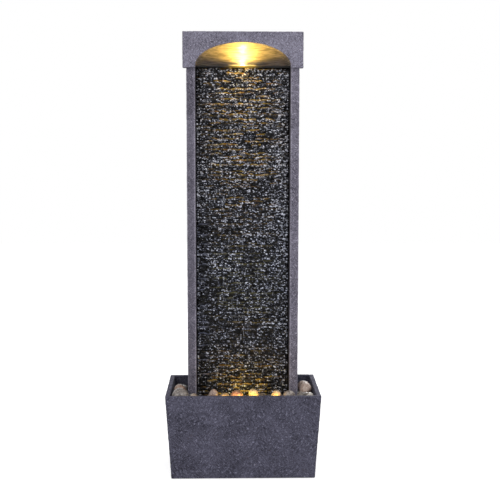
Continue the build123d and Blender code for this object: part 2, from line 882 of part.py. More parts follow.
# Pump: a sealed motor block with a rotor well, a chamber and an outlet; its axis lies along X
motor_start = -chamber_half
motor_end = motor_start + pump_motor_length
well_end = chamber_half + well_length
outlet_top = pump_top + outlet_collar + spigot_length
cup_xs = (motor_start + cup_inset, motor_end - cup_inset)
cup_ys = (riser_y - pump_width / 2 + cup_inset, riser_y + pump_width / 2 - cup_inset)
cup_spots = [(x, y) for x in cup_xs for y in cup_ys]
pump_axis = (riser_y, pump_axis_z)

with BuildPart() as pump_housing:
    with BuildSketch(Plane.YZ.offset(motor_start)):
        with Locations(pump_axis):
            RectangleRounded(pump_width, pump_height, pump_round)
    extrude(amount=pump_motor_length)
    with BuildSketch(Plane.XY.offset(pump_top)):
        with Locations((0, riser_y)):
            Circle(outlet_collar_radius)
    extrude(amount=outlet_collar)
    with BuildSketch(Plane.XY.offset(pump_top + outlet_collar)):
        with Locations((0, riser_y)):
            Circle(spigot_radius)
    extrude(amount=spigot_length)
    with BuildSketch(Plane.YZ.offset(motor_start)):
        with Locations(pump_axis):
            Circle(chamber_radius)
    extrude(amount=2 * chamber_half, mode=Mode.SUBTRACT)
    with BuildSketch(Plane.YZ.offset(chamber_half)):
        with Locations(pump_axis):
            Circle(well_radius)
    extrude(amount=well_length, mode=Mode.SUBTRACT)
    with BuildSketch(Plane.YZ.offset(well_end)):
        with Locations(pump_axis):
            Circle(bush_radius + bush_fit)
    extrude(amount=bush_length + bush_fit, mode=Mode.SUBTRACT)
    with BuildSketch(Plane.XY.offset(outlet_top)):
        with Locations((0, riser_y)):
            Circle(spigot_bore)
    extrude(amount=-(outlet_top - pump_axis_z), mode=Mode.SUBTRACT)
    with BuildSketch(Plane.XY.offset(pump_bottom)):
        with Locations(*cup_spots):
            Circle(cup_neck_radius + cup_fit)
    extrude(amount=cup_neck_length + cup_fit, mode=Mode.SUBTRACT)
save(pump_housing.part, "pump_housing")

# Volute plate: closes the chamber, with the intake round a hub that holds the front bush
cover_width_inside = pump_width - 2 * strainer_wall
cover_height_inside = pump_height - 2 * strainer_wall
with BuildPart() as volute_plate:
    with BuildSketch(Plane.YZ.offset(motor_start)):
        with Locations(pump_axis):
            RectangleRounded(pump_width, pump_height, pump_round)
            Circle(intake_radius, mode=Mode.SUBTRACT)
            Rectangle(spoke_width, 2 * intake_radius)
            Rectangle(2 * intake_radius, spoke_width)
            Circle(hub_radius)
    extrude(amount=-volute_thickness)
    with BuildSketch(Plane.YZ.offset(motor_start)):
        with Locations(pump_axis):
            Circle(hub_radius)
    extrude(amount=-hub_length)
    with BuildSketch(Plane.YZ.offset(motor_start - volute_thickness)):
        with Locations(pump_axis):
            RectangleRounded(
                cover_width_inside - 2 * rim_fit, cover_height_inside - 2 * rim_fit, pump_inner_round
            )
            RectangleRounded(
                cover_width_inside - 2 * rim_fit - 2 * strainer_wall,
                cover_height_inside - 2 * rim_fit - 2 * strainer_wall,
                pump_inner_round - strainer_wall,
                mode=Mode.SUBTRACT,
            )
    extrude(amount=-rim_height)
    with BuildSketch(Plane.YZ.offset(motor_start)):
        with Locations(pump_axis):
            Circle(bush_radius + bush_fit)
    extrude(amount=-(bush_length + bush_fit), mode=Mode.SUBTRACT)
save(volute_plate.part, "volute_plate")

# Impeller: a magnet rotor with a vaned disc, free on a fixed shaft between two bushes
vane_back = chamber_half - vane_end_gap - vane_disc
vane_front = motor_start + vane_end_gap
with BuildPart() as impeller:
    with BuildSketch(Plane.YZ.offset(vane_back + vane_disc)):
        with Locations(pump_axis):
            Circle(rotor_radius)
    extrude(amount=well_end - rotor_end_gap - vane_back - vane_disc)
    with BuildSketch(Plane.YZ.offset(vane_back)):
        with Locations(pump_axis):
            Circle(vane_radius)
    extrude(amount=vane_disc)
    with BuildSketch(Plane.YZ.offset(vane_back)):
        with Locations(pump_axis):
            Circle(hub_outer_radius)
            with PolarLocations(vane_radius / 2, vane_count):
                Rectangle(vane_radius - vane_thickness, vane_thickness)
    extrude(amount=vane_front - vane_back)
    with BuildSketch(Plane.YZ.offset(vane_front)):
        with Locations(pump_axis):
            Circle(shaft_radius + running_fit)
    extrude(amount=well_end - vane_front, mode=Mode.SUBTRACT)
save(impeller.part, "impeller")

with BuildPart() as impeller_shaft:
    with BuildSketch(Plane.YZ.offset(motor_start - bush_length)):
        with Locations(pump_axis):
            Circle(shaft_radius)
    extrude(amount=well_end + 2 * bush_length - motor_start)
save(impeller_shaft.part, "impeller_shaft")

with BuildPart() as shaft_bushes:
    for start in (motor_start - bush_length, well_end):
        with BuildSketch(Plane.YZ.offset(start)):
            with Locations(pump_axis):
                Circle(bush_radius)
                Circle(shaft_radius + running_fit, mode=Mode.SUBTRACT)
        extrude(amount=bush_length)
save(shaft_bushes.part, "shaft_bushes")

# Intake cover: a slotted strainer box that pushes on over the volute plate's rim
cover_back = motor_start - volute_thickness
cover_face = cover_back - strainer_length
slot_span = pump_height - 2 * strainer_slot_margin
strainer_slot_count = int((pump_width - 2 * strainer_slot_margin) // strainer_slot_pitch)
side_slots = int((strainer_length - strainer_slot_margin - rim_height) // strainer_slot_pitch)
with BuildPart() as intake_cover:
    with BuildSketch(Plane.YZ.offset(cover_back)):
        with Locations(pump_axis):
            RectangleRounded(pump_width, pump_height, pump_round)
    extrude(amount=-strainer_length)
    with BuildSketch(Plane.YZ.offset(cover_back)):
        with Locations(pump_axis):
            RectangleRounded(cover_width_inside, cover_height_inside, pump_inner_round)
    extrude(amount=-(strainer_length - strainer_wall), mode=Mode.SUBTRACT)
    with BuildSketch(Plane.XZ.offset(-(riser_y + pump_width / 2))):
        with Locations(((cover_face + cover_back - rim_height) / 2, pump_axis_z)):
            with GridLocations(strainer_slot_pitch, 0, side_slots, 1):
                Rectangle(strainer_slot, slot_span)
    extrude(amount=pump_width, mode=Mode.SUBTRACT)
    with BuildSketch(Plane.YZ.offset(cover_face)):
        with Locations(pump_axis):
            with GridLocations(strainer_slot_pitch, pump_height / 2, strainer_slot_count, 2):
                Rectangle(strainer_slot, pump_height / 2 - strainer_slot_margin - dial_radius)
            Circle(dial_stem_radius + dial_stem_fit)
    extrude(amount=strainer_wall, mode=Mode.SUBTRACT)
save(intake_cover.part, "intake_cover")

# Flow dial: a knob in front of the cover on a stem, with a half-round shutter behind the cover's face
knob_back = cover_face - dial_running_gap
shutter_front = cover_face + strainer_wall + dial_running_gap
with BuildPart() as flow_dial:
    with BuildSketch(Plane.YZ.offset(knob_back)):
        with Locations(pump_axis):
            Circle(dial_radius)
    extrude(amount=-dial_thickness)
    with BuildSketch(Plane.YZ.offset(knob_back - dial_thickness)):
        with Locations(pump_axis):
            Rectangle(dial_grip, 2 * (dial_radius - dial_grip))
    extrude(amount=-dial_grip_height)
    with BuildSketch(Plane.YZ.offset(knob_back)):
        with Locations(pump_axis):
            Circle(dial_stem_radius)
    extrude(amount=shutter_front - knob_back)
    with BuildSketch(Plane.YZ.offset(shutter_front)):
        with Locations(pump_axis):
            Circle(shutter_radius)
        with Locations((riser_y, pump_axis_z + dial_stem_radius)):
            Rectangle(
                2 * shutter_radius,
                shutter_radius,
                align=(Align.CENTER, Align.MIN),
                mode=Mode.SUBTRACT,
            )
    extrude(amount=shutter_thickness)
save(flow_dial.part, "flow_dial")

# Suction feet: four flared rubber cups with necks in the pump's underside
with BuildPart() as suction_feet:
    for spot in cup_spots:
        with Locations((*spot, floor_top)):
            Cone(
                cup_radius,
                cup_neck_radius,
                pump_cup_height,
                align=(Align.CENTER, Align.CENTER, Align.MIN),
            )
            Cone(
                cup_radius - cup_lip,
                cup_lip,
                pump_cup_height / 2,
                align=(Align.CENTER, Align.CENTER, Align.MIN),
                mode=Mode.SUBTRACT,
            )
    with BuildSketch(Plane.XY.offset(pump_bottom)):
        with Locations(*cup_spots):
            Circle(cup_neck_radius)
    extrude(amount=cup_neck_length)
save(suction_feet.part, "suction_feet")
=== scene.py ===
import math
import bmesh
import bpy
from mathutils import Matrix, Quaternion, Vector


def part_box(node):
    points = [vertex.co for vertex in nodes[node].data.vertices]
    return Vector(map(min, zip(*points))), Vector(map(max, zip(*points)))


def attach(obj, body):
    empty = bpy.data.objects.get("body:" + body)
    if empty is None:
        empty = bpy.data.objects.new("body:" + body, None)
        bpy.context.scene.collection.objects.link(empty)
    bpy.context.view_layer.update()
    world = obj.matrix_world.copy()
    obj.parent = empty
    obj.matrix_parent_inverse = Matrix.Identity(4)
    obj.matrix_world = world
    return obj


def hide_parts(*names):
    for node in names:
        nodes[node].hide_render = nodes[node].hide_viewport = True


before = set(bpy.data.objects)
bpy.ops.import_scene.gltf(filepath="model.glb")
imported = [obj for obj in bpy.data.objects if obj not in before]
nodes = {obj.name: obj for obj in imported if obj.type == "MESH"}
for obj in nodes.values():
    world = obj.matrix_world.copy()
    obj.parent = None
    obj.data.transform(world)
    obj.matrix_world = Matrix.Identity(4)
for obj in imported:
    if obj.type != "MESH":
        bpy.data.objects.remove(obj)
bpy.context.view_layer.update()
scene = bpy.context.scene
print("stage: frame loaded,", len(nodes), "nodes")


# small helpers for node trees
def place(tree, kind, **settings):
    node = tree.nodes.new(kind)
    for name, value in settings.items():
        setattr(node, name, value)
    return node


def feed(tree, socket, value):  # a link or a plain value
    if isinstance(value, bpy.types.NodeSocket):
        tree.links.new(value, socket)
    else:
        socket.default_value = value


def feedNamed(tree, node, names, values):
    for name, value in zip(names, values):
        feed(tree, node.inputs[name], value)


def calc(tree, operation, *values):  # one Math node
    node = place(tree, "ShaderNodeMath", operation=operation)
    for socket, value in zip(node.inputs, values):
        feed(tree, socket, value)
    return node.outputs[0]


def times(tree, first, second):
    return calc(tree, "MULTIPLY", first, second)


def plus(tree, first, second):
    return calc(tree, "ADD", first, second)


def minus(tree, first, second):
    return calc(tree, "SUBTRACT", first, second)


def timesPlus(tree, first, second, third):  # first times second, plus third
    return calc(tree, "MULTIPLY_ADD", first, second, third)


def absolute(tree, value):
    return calc(tree, "ABSOLUTE", value)


def per(tree, length):  # how many of a length there are in a metre
    return calc(tree, "DIVIDE", 1.0, length)


def whole(tree, value, share):  # how many whole shares a value holds
    return calc(tree, "FLOOR", calc(tree, "DIVIDE", value, share))


def spread(tree, value, *limits):  # one clamped Map Range node: from low, from high, to low, to high
    node = place(tree, "ShaderNodeMapRange", interpolation_type="SMOOTHSTEP")
    feedNamed(tree, node, ("Value", "From Min", "From Max", "To Min", "To Max"), (value, *limits))
    return node.outputs["Result"]


def point(tree, x, y, z):
    node = place(tree, "ShaderNodeCombineXYZ")
    for socket, value in zip(node.inputs, (x, y, z)):
        feed(tree, socket, value)
    return node.outputs[0]


def parts(tree, vector):
    node = place(tree, "ShaderNodeSeparateXYZ")
    tree.links.new(vector, node.inputs[0])
    return node.outputs


def stretched(tree, axes, scales):  # a point whose axes are scaled apart, with 0 for an axis left out
    return point(tree, *(times(tree, axis, scale) if scale else 0.0 for axis, scale in zip(axes, scales)))


def cloud(tree, vector, scale, detail=2.0, roughness=0.5, distortion=0.0):  # one Noise node
    node = place(tree, "ShaderNodeTexNoise")
    names = ("Vector", "Scale", "Detail", "Roughness", "Distortion")
    feedNamed(tree, node, names, (vector, scale, detail, roughness, distortion))
    return node.outputs["Fac"]


def cells(tree, vector, scale):  # one Voronoi node
    node = place(tree, "ShaderNodeTexVoronoi")
    feedNamed(tree, node, ("Vector", "Scale"), (vector, scale))
    return node.outputs


def dice(tree, x, y, seed):  # white noise that stays the same for the same numbers
    node = place(tree, "ShaderNodeTexWhiteNoise", noise_dimensions="3D")
    tree.links.new(point(tree, x, y, seed), node.inputs["Vector"])
    return node.outputs["Value"]


def objectSpot(tree):
    return place(tree, "ShaderNodeTexCoord").outputs["Object"]


socketKinds = {"Geometry": "NodeSocketGeometry", "Material": "NodeSocketMaterial"}  # all others are numbers


def newGroup(name, kind, takes, gives):
    tree = bpy.data.node_groups.new(name, kind)
    for label, value in takes.items():
        number = "NodeSocketInt" if isinstance(value, int) else "NodeSocketFloat"
        socket = tree.interface.new_socket(label, in_out="INPUT", socket_type=socketKinds.get(label, number))
        if value is not None:
            socket.default_value = value
    for label in gives:
        socketType = socketKinds.get(label, "NodeSocketFloat")
        tree.interface.new_socket(label, in_out="OUTPUT", socket_type=socketType)
    return tree, place(tree, "NodeGroupInput").outputs, place(tree, "NodeGroupOutput").inputs


def useGroup(tree, group, **values):
    node = place(tree, "ShaderNodeGroup", node_tree=group)
    for name, value in values.items():
        node.inputs[name].default_value = value
    return node.outputs


def endTree(tree, geometry, takes, gives):  # what every geometry tree ends in
    real = place(tree, "GeometryNodeRealizeInstances")
    tree.links.new(geometry, real.inputs[0])
    paint = place(tree, "GeometryNodeSetMaterial")
    tree.links.new(real.outputs[0], paint.inputs["Geometry"])
    tree.links.new(takes["Material"], paint.inputs["Material"])
    tree.links.new(paint.outputs[0], gives["Geometry"])


def newObject(name, data=None):
    made = bpy.data.objects.new(name, data or bpy.data.meshes.new(name))
    scene.collection.objects.link(made)
    return made


def runTree(name, carrier, tree, values):  # runs a tree on a carrier and keeps the plain mesh
    modifier = carrier.modifiers.new(name, "NODES")
    modifier.node_group = tree
    for item in tree.interface.items_tree:
        if item.item_type == "SOCKET" and item.in_out == "INPUT" and item.name in values:
            modifier[item.identifier] = values[item.name]
    shown = carrier.evaluated_get(bpy.context.evaluated_depsgraph_get())
    mesh = bpy.data.meshes.new_from_object(shown)
    carrier.modifiers.remove(modifier)
    bpy.data.objects.remove(carrier)
    mesh.name = name
    return newObject(name, mesh)


# camera at the photograph's angle
cameraSet = {
    "place": (-0.0354, -2.4669, 0.8454), "yaw": -0.0221, "pitch": -0.1057, "roll": 0.0012,
    "lens": 67.75, "sensor": 36.0, "nearest": 0.05,
}


def makeCamera(settings):
    data = bpy.data.cameras.new("viewCamera")
    data.sensor_width = settings["sensor"]
    data.lens = settings["lens"]
    data.clip_start = settings["nearest"]
    camera = newObject("viewCamera", data)
    yaw, pitch = settings["yaw"], settings["pitch"]
    level = math.cos(pitch)
    ahead = Vector((-math.sin(yaw) * level, math.cos(yaw) * level, math.sin(pitch)))
    camera.location = settings["place"]
    camera.rotation_mode = "QUATERNION"
    camera.rotation_quaternion = ahead.to_track_quat("-Z", "Y") @ Quaternion((0, 0, 1), settings["roll"])
    scene.camera = camera


makeCamera(cameraSet)
print("stage: camera placed")


# finishes that several materials share
chiselMarks = {
    "thin": 2.2, "long": 0.42,  # how far a stroke is drawn out
    "patch": 0.2, "pits": 2.2,  # how fine, beside the chips
    "strokeShare": 0.7, "pitShare": 0.45, "grainLift": 0.26, "ridgeLift": 0.12, "ridgeWidth": 0.075,
    "ridgeTone": 0.34, "faceTone": 0.72, "chipTone": 0.72, "blotchTone": 0.28,
}


def makeChippedStone(marks):
    tree, takes, gives = newGroup(
        "chippedStone",
        "ShaderNodeTree",
        {"Chip Size": 0.007, "Blotch Size": 0.06, "Grain Size": 0.0012},
        ("Shade", "Height", "Roughness", "Speck"),
    )
    spot = objectSpot(tree)
    chipScale = per(tree, takes["Chip Size"])
    x, y, z = parts(tree, spot)
    along = plus(tree, x, y)
    rising, falling = plus(tree, along, z), minus(tree, along, z)
    # short chisel strokes, leaning one way or the other from patch to patch
    strokes = []
    for thin, long in ((rising, falling), (falling, rising)):
        drawn = times(tree, thin, marks["thin"]), times(tree, long, marks["long"])
        strokes.append(cloud(tree, point(tree, *drawn, minus(tree, x, y)), chipScale, 2.0, 0.55, 0.9))
    lean = spread(tree, cloud(tree, spot, times(tree, chipScale, marks["patch"]), 1.0), 0.44, 0.56, 0.0, 1.0)
    stroke = plus(tree, strokes[0], times(tree, minus(tree, strokes[1], strokes[0]), lean))
    pits = cloud(tree, spot, times(tree, chipScale, marks["pits"]), 2.0, 0.6)
    grain = cloud(tree, spot, per(tree, takes["Grain Size"]), 2.0, 0.7)
    blotch = cloud(tree, spot, per(tree, takes["Blotch Size"]), 3.0, 0.55)
    rough = plus(tree, times(tree, stroke, marks["strokeShare"]), times(tree, pits, marks["pitShare"]))
    ridge = spread(tree, absolute(tree, minus(tree, stroke, 0.5)), 0.0, marks["ridgeWidth"], 1.0, 0.0)
    height = timesPlus(tree, ridge, marks["ridgeLift"], rough)
    faces = times(tree, spread(tree, rough, 0.46, 0.70, 0.0, 1.0), marks["faceTone"])
    chips = times(tree, timesPlus(tree, ridge, marks["ridgeTone"], faces), marks["chipTone"])
    blotches = times(tree, spread(tree, blotch, 0.3, 0.7, 0.0, 1.0), marks["blotchTone"])
    feed(tree, gives["Height"], timesPlus(tree, grain, marks["grainLift"], height))
    feed(tree, gives["Shade"], plus(tree, chips, blotches))
    feed(tree, gives["Roughness"], spread(tree, grain, 0.3, 0.7, 0.72, 0.9))
    feed(tree, gives["Speck"], spread(tree, times(tree, pits, stroke), 0.32, 0.42, 0.0, 1.0))
    return tree


def makeMouldedGrain():
    tree, takes, gives = newGroup(
        "mouldedGrain",
        "ShaderNodeTree",
        {"Grain Size": 0.0006, "Wear Size": 0.03},
        ("Shade", "Height", "Roughness"),
    )
    spot = objectSpot(tree)
    wear = cloud(tree, spot, per(tree, takes["Wear Size"]), 4.0, 0.6)
    feed(tree, gives["Shade"], spread(tree, wear, 0.3, 0.7, 0.0, 1.0))
    feed(tree, gives["Height"], cloud(tree, spot, per(tree, takes["Grain Size"]), 2.0, 0.6))
    feed(tree, gives["Roughness"], spread(tree, wear, 0.3, 0.7, 0.38, 0.62))
    return tree


def makeWetSheen():
    tree, takes, gives = newGroup(
        "wetSheen",
        "ShaderNodeTree",
        {"Patch Size": 0.02, "Dry Roughness": 0.5, "Wet Roughness": 0.15},
        ("Wet", "Roughness"),
    )
    patch = cloud(tree, objectSpot(tree), per(tree, takes["Patch Size"]), 3.0, 0.6)
    wet = spread(tree, patch, 0.32, 0.55, 0.0, 1.0)
    roughness = spread(tree, wet, 0.0, 1.0, takes["Dry Roughness"], takes["Wet Roughness"])
    feed(tree, gives["Wet"], wet)
    feed(tree, gives["Roughness"], roughness)
    return tree


chippedStone = makeChippedStone(chiselMarks)
mouldedGrain = makeMouldedGrain()
wetSheen = makeWetSheen()


def newMaterial(name, **settings):
    material = bpy.data.materials.new(name)
    material.use_nodes = True
    shader = material.node_tree.nodes["Principled BSDF"]
    for label, value in settings.items():
        shader.inputs[label].default_value = value
    return material, material.node_tree, shader


def blendColours(tree, factor, low, high, mode="MIX"):
    node = place(tree, "ShaderNodeMix", data_type="RGBA", blend_type=mode)
    feed(tree, node.inputs["Factor"], factor)
    feed(tree, node.inputs[6], low)  # the node's colour sockets A and B
    feed(tree, node.inputs[7], high)
    return node.outputs[2]


def bumpFrom(tree, shader, height, strength, distance):
    node = place(tree, "ShaderNodeBump")
    feedNamed(tree, node, ("Height", "Strength", "Distance"), (height, strength, distance))
    tree.links.new(node.outputs["Normal"], shader.inputs["Normal"])


def rgb(*levels):  # a screen colour as the shader's linear numbers
    shares = [level / 255 for level in levels]
    return tuple(s / 12.92 if s < 0.04 else ((s + 0.055) / 1.055) ** 2.4 for s in shares) + (1.0,)


# cast stone, four tones of one mix; the basin is painted darker and the cap lighter, as painted shade low
# down and painted light on top; places are in metres
stoneTones = {
    "basin": {
        "dark": rgb(37, 36, 48), "light": rgb(98, 97, 116), "speck": rgb(132, 132, 154), "chip": 0.0075,
        "inside": {
            "half": (0.188, 0.108), "taper": (0.064, 0.046), "rim": 0.22,  # the inner faces lean in
            # the last two entries paint shade on the basin's inner faces, darkest at the left
            "damp": (-0.15, 0.19, 0.8, 0.15), "wet": rgb(14, 14, 18),
        },
    },
    "tower": {
        "dark": rgb(54, 51, 62), "light": rgb(138, 134, 151), "speck": rgb(180, 176, 192), "chip": 0.006,
        # the reveal paints shade on the stiles' inner faces, browner low down, shade on the left side, and
        # highlights along the front edges
        "reveal": {
            "shadeTo": (0.1224, 0.1240, 0.8, 0.0), "rear": 0.0885, "foot": (0.2, 0.44, 1.0, 0.0),
            "shadeHigh": rgb(46, 44, 49), "shadeLow": rgb(50, 42, 36), "leftShade": (-0.135, -0.115, 0.34, 0.0),
            "innerEdge": ((0.1228, 0.1234, 0.0, 1.0), (0.1250, 0.1270, 1.0, 0.0)),
            "outerEdge": (0.1420, 0.1442, 0.0, 1.0), "front": -0.022, "wear": 0.55,
        },
    },
    "cap": {
        "dark": rgb(62, 59, 71), "light": rgb(147, 144, 162), "speck": rgb(186, 182, 198), "chip": 0.006,
        "niche": {
            "half": 0.122, "rise": 0.059, "spring": 1.059, "front": -0.034, "back": 0.056,
            "brush": (28.0, 60.0, 420.0), "brushLift": 0.3,
            "dark": rgb(64, 60, 61), "light": rgb(116, 110, 111),
        },
    },
    "cover": {
        "dark": rgb(42, 40, 48), "light": rgb(108, 105, 119), "speck": rgb(146, 143, 158), "chip": 0.006,
    },
}


def revealShadeAndEdgeLight(tree, colour, shade, tone, x, y, z):  # painted shade on the stiles' inner faces and their left side, painted highlights along their front edges
    look = tone["reveal"]
    across = absolute(tree, x)
    wet = times(tree, spread(tree, across, *look["shadeTo"]), calc(tree, "LESS_THAN", y, look["rear"]))
    dark = blendColours(tree, spread(tree, z, *look["foot"]), look["shadeHigh"], look["shadeLow"])
    # painted shade on the inner faces, then on the left side
    colour = blendColours(tree, wet, colour, dark)
    colour = blendColours(tree, spread(tree, x, *look["leftShade"]), colour, tone["dark"])
    # painted highlights along the stiles' front edges
    inner = times(tree, *(spread(tree, across, *limits) for limits in look["innerEdge"]))
    edgeHighlight = plus(tree, inner, spread(tree, across, *look["outerEdge"]))
    edgeHighlight = times(tree, edgeHighlight, calc(tree, "LESS_THAN", y, look["front"]))
    return blendColours(tree, times(tree, edgeHighlight, times(tree, shade, look["wear"])), colour, tone["speck"])


def dampInside(tree, colour, look, x, y, z):  # painted shade inside the basin, darkest at the left
    below = minus(tree, look["rim"], z)
    past = []
    for axis, half, taper in zip((x, y), look["half"], look["taper"]):
        past.append(minus(tree, timesPlus(tree, below, taper, absolute(tree, axis)), half))
    inside = spread(tree, calc(tree, "MAXIMUM", *past), -0.001, 0.001, 1.0, 0.0)
    return blendColours(tree, times(tree, inside, spread(tree, x, *look["damp"])), colour, look["wet"])


def smoothNiche(tree, colour, height, look, x, y, z):  # inside the arch the stone has marks of a brush
    across = calc(tree, "POWER", calc(tree, "DIVIDE", absolute(tree, x), look["half"]), 2.0)
    above = calc(tree, "MAXIMUM", minus(tree, z, look["spring"]), 0.0)
    inside = plus(tree, across, calc(tree, "POWER", calc(tree, "DIVIDE", above, look["rise"]), 2.0))
    behind, before = calc(tree, "GREATER_THAN", y, look["front"]), calc(tree, "LESS_THAN", y, look["back"])
    smooth = times(tree, spread(tree, inside, 1.0, 1.06, 1.0, 0.0), times(tree, behind, before))
    brush = cloud(tree, stretched(tree, (x, y, z), look["brush"]), 1.0, 3.0, 0.6, 0.4)
    brushed = blendColours(tree, spread(tree, brush, 0.3, 0.7, 0.0, 1.0), look["dark"], look["light"])
    lowered = times(tree, smooth, minus(tree, times(tree, brush, look["brushLift"]), height))
    return blendColours(tree, smooth, colour, brushed), plus(tree, height, lowered)


def makeStone(name, tone):
    material, tree, shader = newMaterial(name, **{"Specular IOR Level": 0.3})
    finish = useGroup(tree, chippedStone, **{"Chip Size": tone["chip"]})
    shade, height = finish["Shade"], finish["Height"]
    body = blendColours(tree, shade, tone["dark"], tone["light"])
    colour = blendColours(tree, finish["Speck"], body, tone["speck"])
    x, y, z = parts(tree, objectSpot(tree))
    if "reveal" in tone:
        colour = revealShadeAndEdgeLight(tree, colour, shade, tone, x, y, z)
    if "inside" in tone:
        colour = dampInside(tree, colour, tone["inside"], x, y, z)
    if "niche" in tone:
        colour, height = smoothNiche(tree, colour, height, tone["niche"], x, y, z)
    tree.links.new(colour, shader.inputs["Base Color"])
    tree.links.new(finish["Roughness"], shader.inputs["Roughness"])
    bumpFrom(tree, shader, height, 0.6, 0.0018)
    return material


stones = {name: makeStone(name + "Stone", tone) for name, tone in stoneTones.items()}


# cast pieces: the CAD shape cut into a fine grid and roughened where it shows
mergeDistance = 2e-5
gridCut = {"flat": math.radians(0.6), "sharp": math.radians(32), "near": 1e-6}
reliefMix = {"chips": 2.0, "waves": 0.9, "waveScale": 0.16}
castings = {
    "basin": {
        "grid": 0.0030, "depth": 0.0011, "chip": 0.0085, "stone": "basin",
        "outward": 0.02, "rimFrom": 0.19,
    },
    "tower_shell": {
        "grid": 0.0034, "depth": 0.0007, "chip": 0.0075, "stone": "tower",
        "sides": 0.139, "panelFront": 0.0035, "opening": 0.1, "back": 0.0895,
    },
    "header_cap": {
        "grid": 0.0028, "depth": 0.0008, "chip": 0.0075, "stone": "cap",
        "seatHalf": 0.1458, "seatTop": 1.0635, "behind": -0.0375,
        "half": 0.1225, "rise": 0.0595, "spring": 1.059,
    },
}


def basinOuter(middle, normal, limits):
    outward = middle.x * normal.x + middle.y * normal.y
    return outward > limits["outward"] or middle.z > limits["rimFrom"]


def towerOuter(middle, normal, limits):
    sides = abs(normal.x) > 0.3 and abs(middle.x) > limits["sides"]
    reveal = middle.y < limits["panelFront"] and abs(middle.x) > limits["opening"]
    back = normal.y > 0.5 and middle.y > limits["back"]
    return sides or reveal or back


def capOuter(middle, normal, limits):
    behind = middle.y > limits["behind"]
    seat = abs(middle.x) < limits["seatHalf"] and middle.z < limits["seatTop"] and normal.z < 0.5
    above = max(middle.z - limits["spring"], 0)
    niche = (middle.x / limits["half"]) ** 2 + (above / limits["rise"]) ** 2 < 1
    return not (behind and (seat or niche))


def makeReliefTree(mix):
    takes = {"Geometry": None, "Depth": 0.001, "Chip Size": 0.008, "Seed": 0.0, "Material": None}
    tree, takes, gives = newGroup("castRelief", "GeometryNodeTree", takes, ("Geometry",))
    shifted = place(tree, "ShaderNodeVectorMath", operation="ADD")
    tree.links.new(place(tree, "GeometryNodeInputPosition").outputs[0], shifted.inputs[0])
    tree.links.new(point(tree, takes["Seed"], takes["Seed"], 0.0), shifted.inputs[1])
    spot = shifted.outputs[0]
    scale = per(tree, takes["Chip Size"])
    chips = minus(tree, cloud(tree, spot, scale, 2.0, 0.6, 0.8), 0.5)
    waves = minus(tree, cloud(tree, spot, times(tree, scale, mix["waveScale"]), 1.0), 0.5)
    lift = plus(tree, times(tree, chips, mix["chips"]), times(tree, waves, mix["waves"]))
    loose = place(tree, "GeometryNodeInputNamedAttribute", data_type="FLOAT")
    loose.inputs["Name"].default_value = "relief"
    offset = place(tree, "ShaderNodeVectorMath", operation="SCALE")
    tree.links.new(place(tree, "GeometryNodeInputNormal").outputs[0], offset.inputs[0])
    amount = times(tree, times(tree, lift, takes["Depth"]), loose.outputs["Attribute"])
    tree.links.new(amount, offset.inputs["Scale"])
    move = place(tree, "GeometryNodeSetPosition")
    tree.links.new(takes["Geometry"], move.inputs["Geometry"])
    tree.links.new(offset.outputs[0], move.inputs["Offset"])
    endTree(tree, move.outputs[0], takes, gives)
    return tree


def cutGrid(nodeName, settings, isOuter):
    work = bmesh.new()
    work.from_mesh(nodes[nodeName].data)
    bmesh.ops.remove_doubles(work, verts=work.verts[:], dist=mergeDistance)
    bmesh.ops.dissolve_limit(work, angle_limit=gridCut["flat"], verts=work.verts[:], edges=work.edges[:])
    for edge in work.edges:
        edge.smooth = len(edge.link_faces) == 2 and edge.calc_face_angle() < gridCut["sharp"]
    for face in work.faces:
        face.smooth = True
    outer = [face for face in work.faces if isOuter(face.calc_center_median(), face.normal, settings)]
    chosen = outer + list({edge for face in outer for edge in face.edges})
    chosen += list({vert for face in outer for vert in face.verts})
    low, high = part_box(nodeName)
    near = gridCut["near"]
    for axis in (2, 1, 0):
        span = high[axis] - low[axis]
        count = max(1, round(span / settings["grid"]))
        normal = Vector((axis == 0, axis == 1, axis == 2))
        for index in range(1, count):
            spot = low.copy()
            spot[axis] += span * index / count
            cut = bmesh.ops.bisect_plane(work, geom=chosen, dist=near, plane_co=spot, plane_no=normal)
            chosen = cut["geom"]
    layer = work.verts.layers.float.new("relief")
    chosenFaces = {item for item in chosen if isinstance(item, bmesh.types.BMFace)}
    for vert in work.verts:
        vert[layer] = 1.0 if all(face in chosenFaces for face in vert.link_faces) else 0.0
    mesh = bpy.data.meshes.new(nodeName + "Grid")
    work.to_mesh(mesh)
    work.free()
    return mesh


reliefTree = makeReliefTree(reliefMix)
outerTests = {"basin": basinOuter, "tower_shell": towerOuter, "header_cap": capOuter}
for order, (nodeName, settings) in enumerate(castings.items()):
    casting = runTree(
        nodeName + "Casting",
        newObject(nodeName + "Carrier", cutGrid(nodeName, settings, outerTests[nodeName])),
        reliefTree,
        {
            "Depth": settings["depth"],
            "Chip Size": settings["chip"],
            "Seed": 3.0 * order,
            "Material": stones[settings["stone"]],
        },
    )
    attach(casting, "fountain")
    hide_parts(nodeName)
    print("stage:", casting.name, len(casting.data.polygons), "faces")


# slate panel: courses of thin split stones in front of their plate
slatePanel = {
    "Columns": 152, "Courses": 89, "Rows": 6, "Half Width": 0.1215, "Bottom": 0.186, "Front": 0.004,
    "Shallow": 0.0060, "Deep": 0.0104, "Least Depth": 0.0015, "Most Depth": 0.0120, "Sink": 0.001,
    "Stone Length": 0.034, "Least Stretch": 0.65, "Stretch": 0.7, "Shift": 17.0,
    "Ripples": 38.0, "Ripple": 0.8, "Waves": 42.0, "Wobble": 0.0120,
    "Facet Size": 0.0056, "Facet Flat": 1.9, "Facet Tilt": 0.75, "Facet Step": 0.0016,
    "Lean": 0.004, "Tip": 0.003, "Least Bevel": 0.0008, "Bevel": 0.0024,
    "Under Cut": 0.0011, "End Cut": 0.0018, "Seed": 4.0,
}
courseHeights = (12.0, 8.0, 8.0, 11.0)  # millimetres, taking turns; the middle two are alike
plateEdge = 0.0008


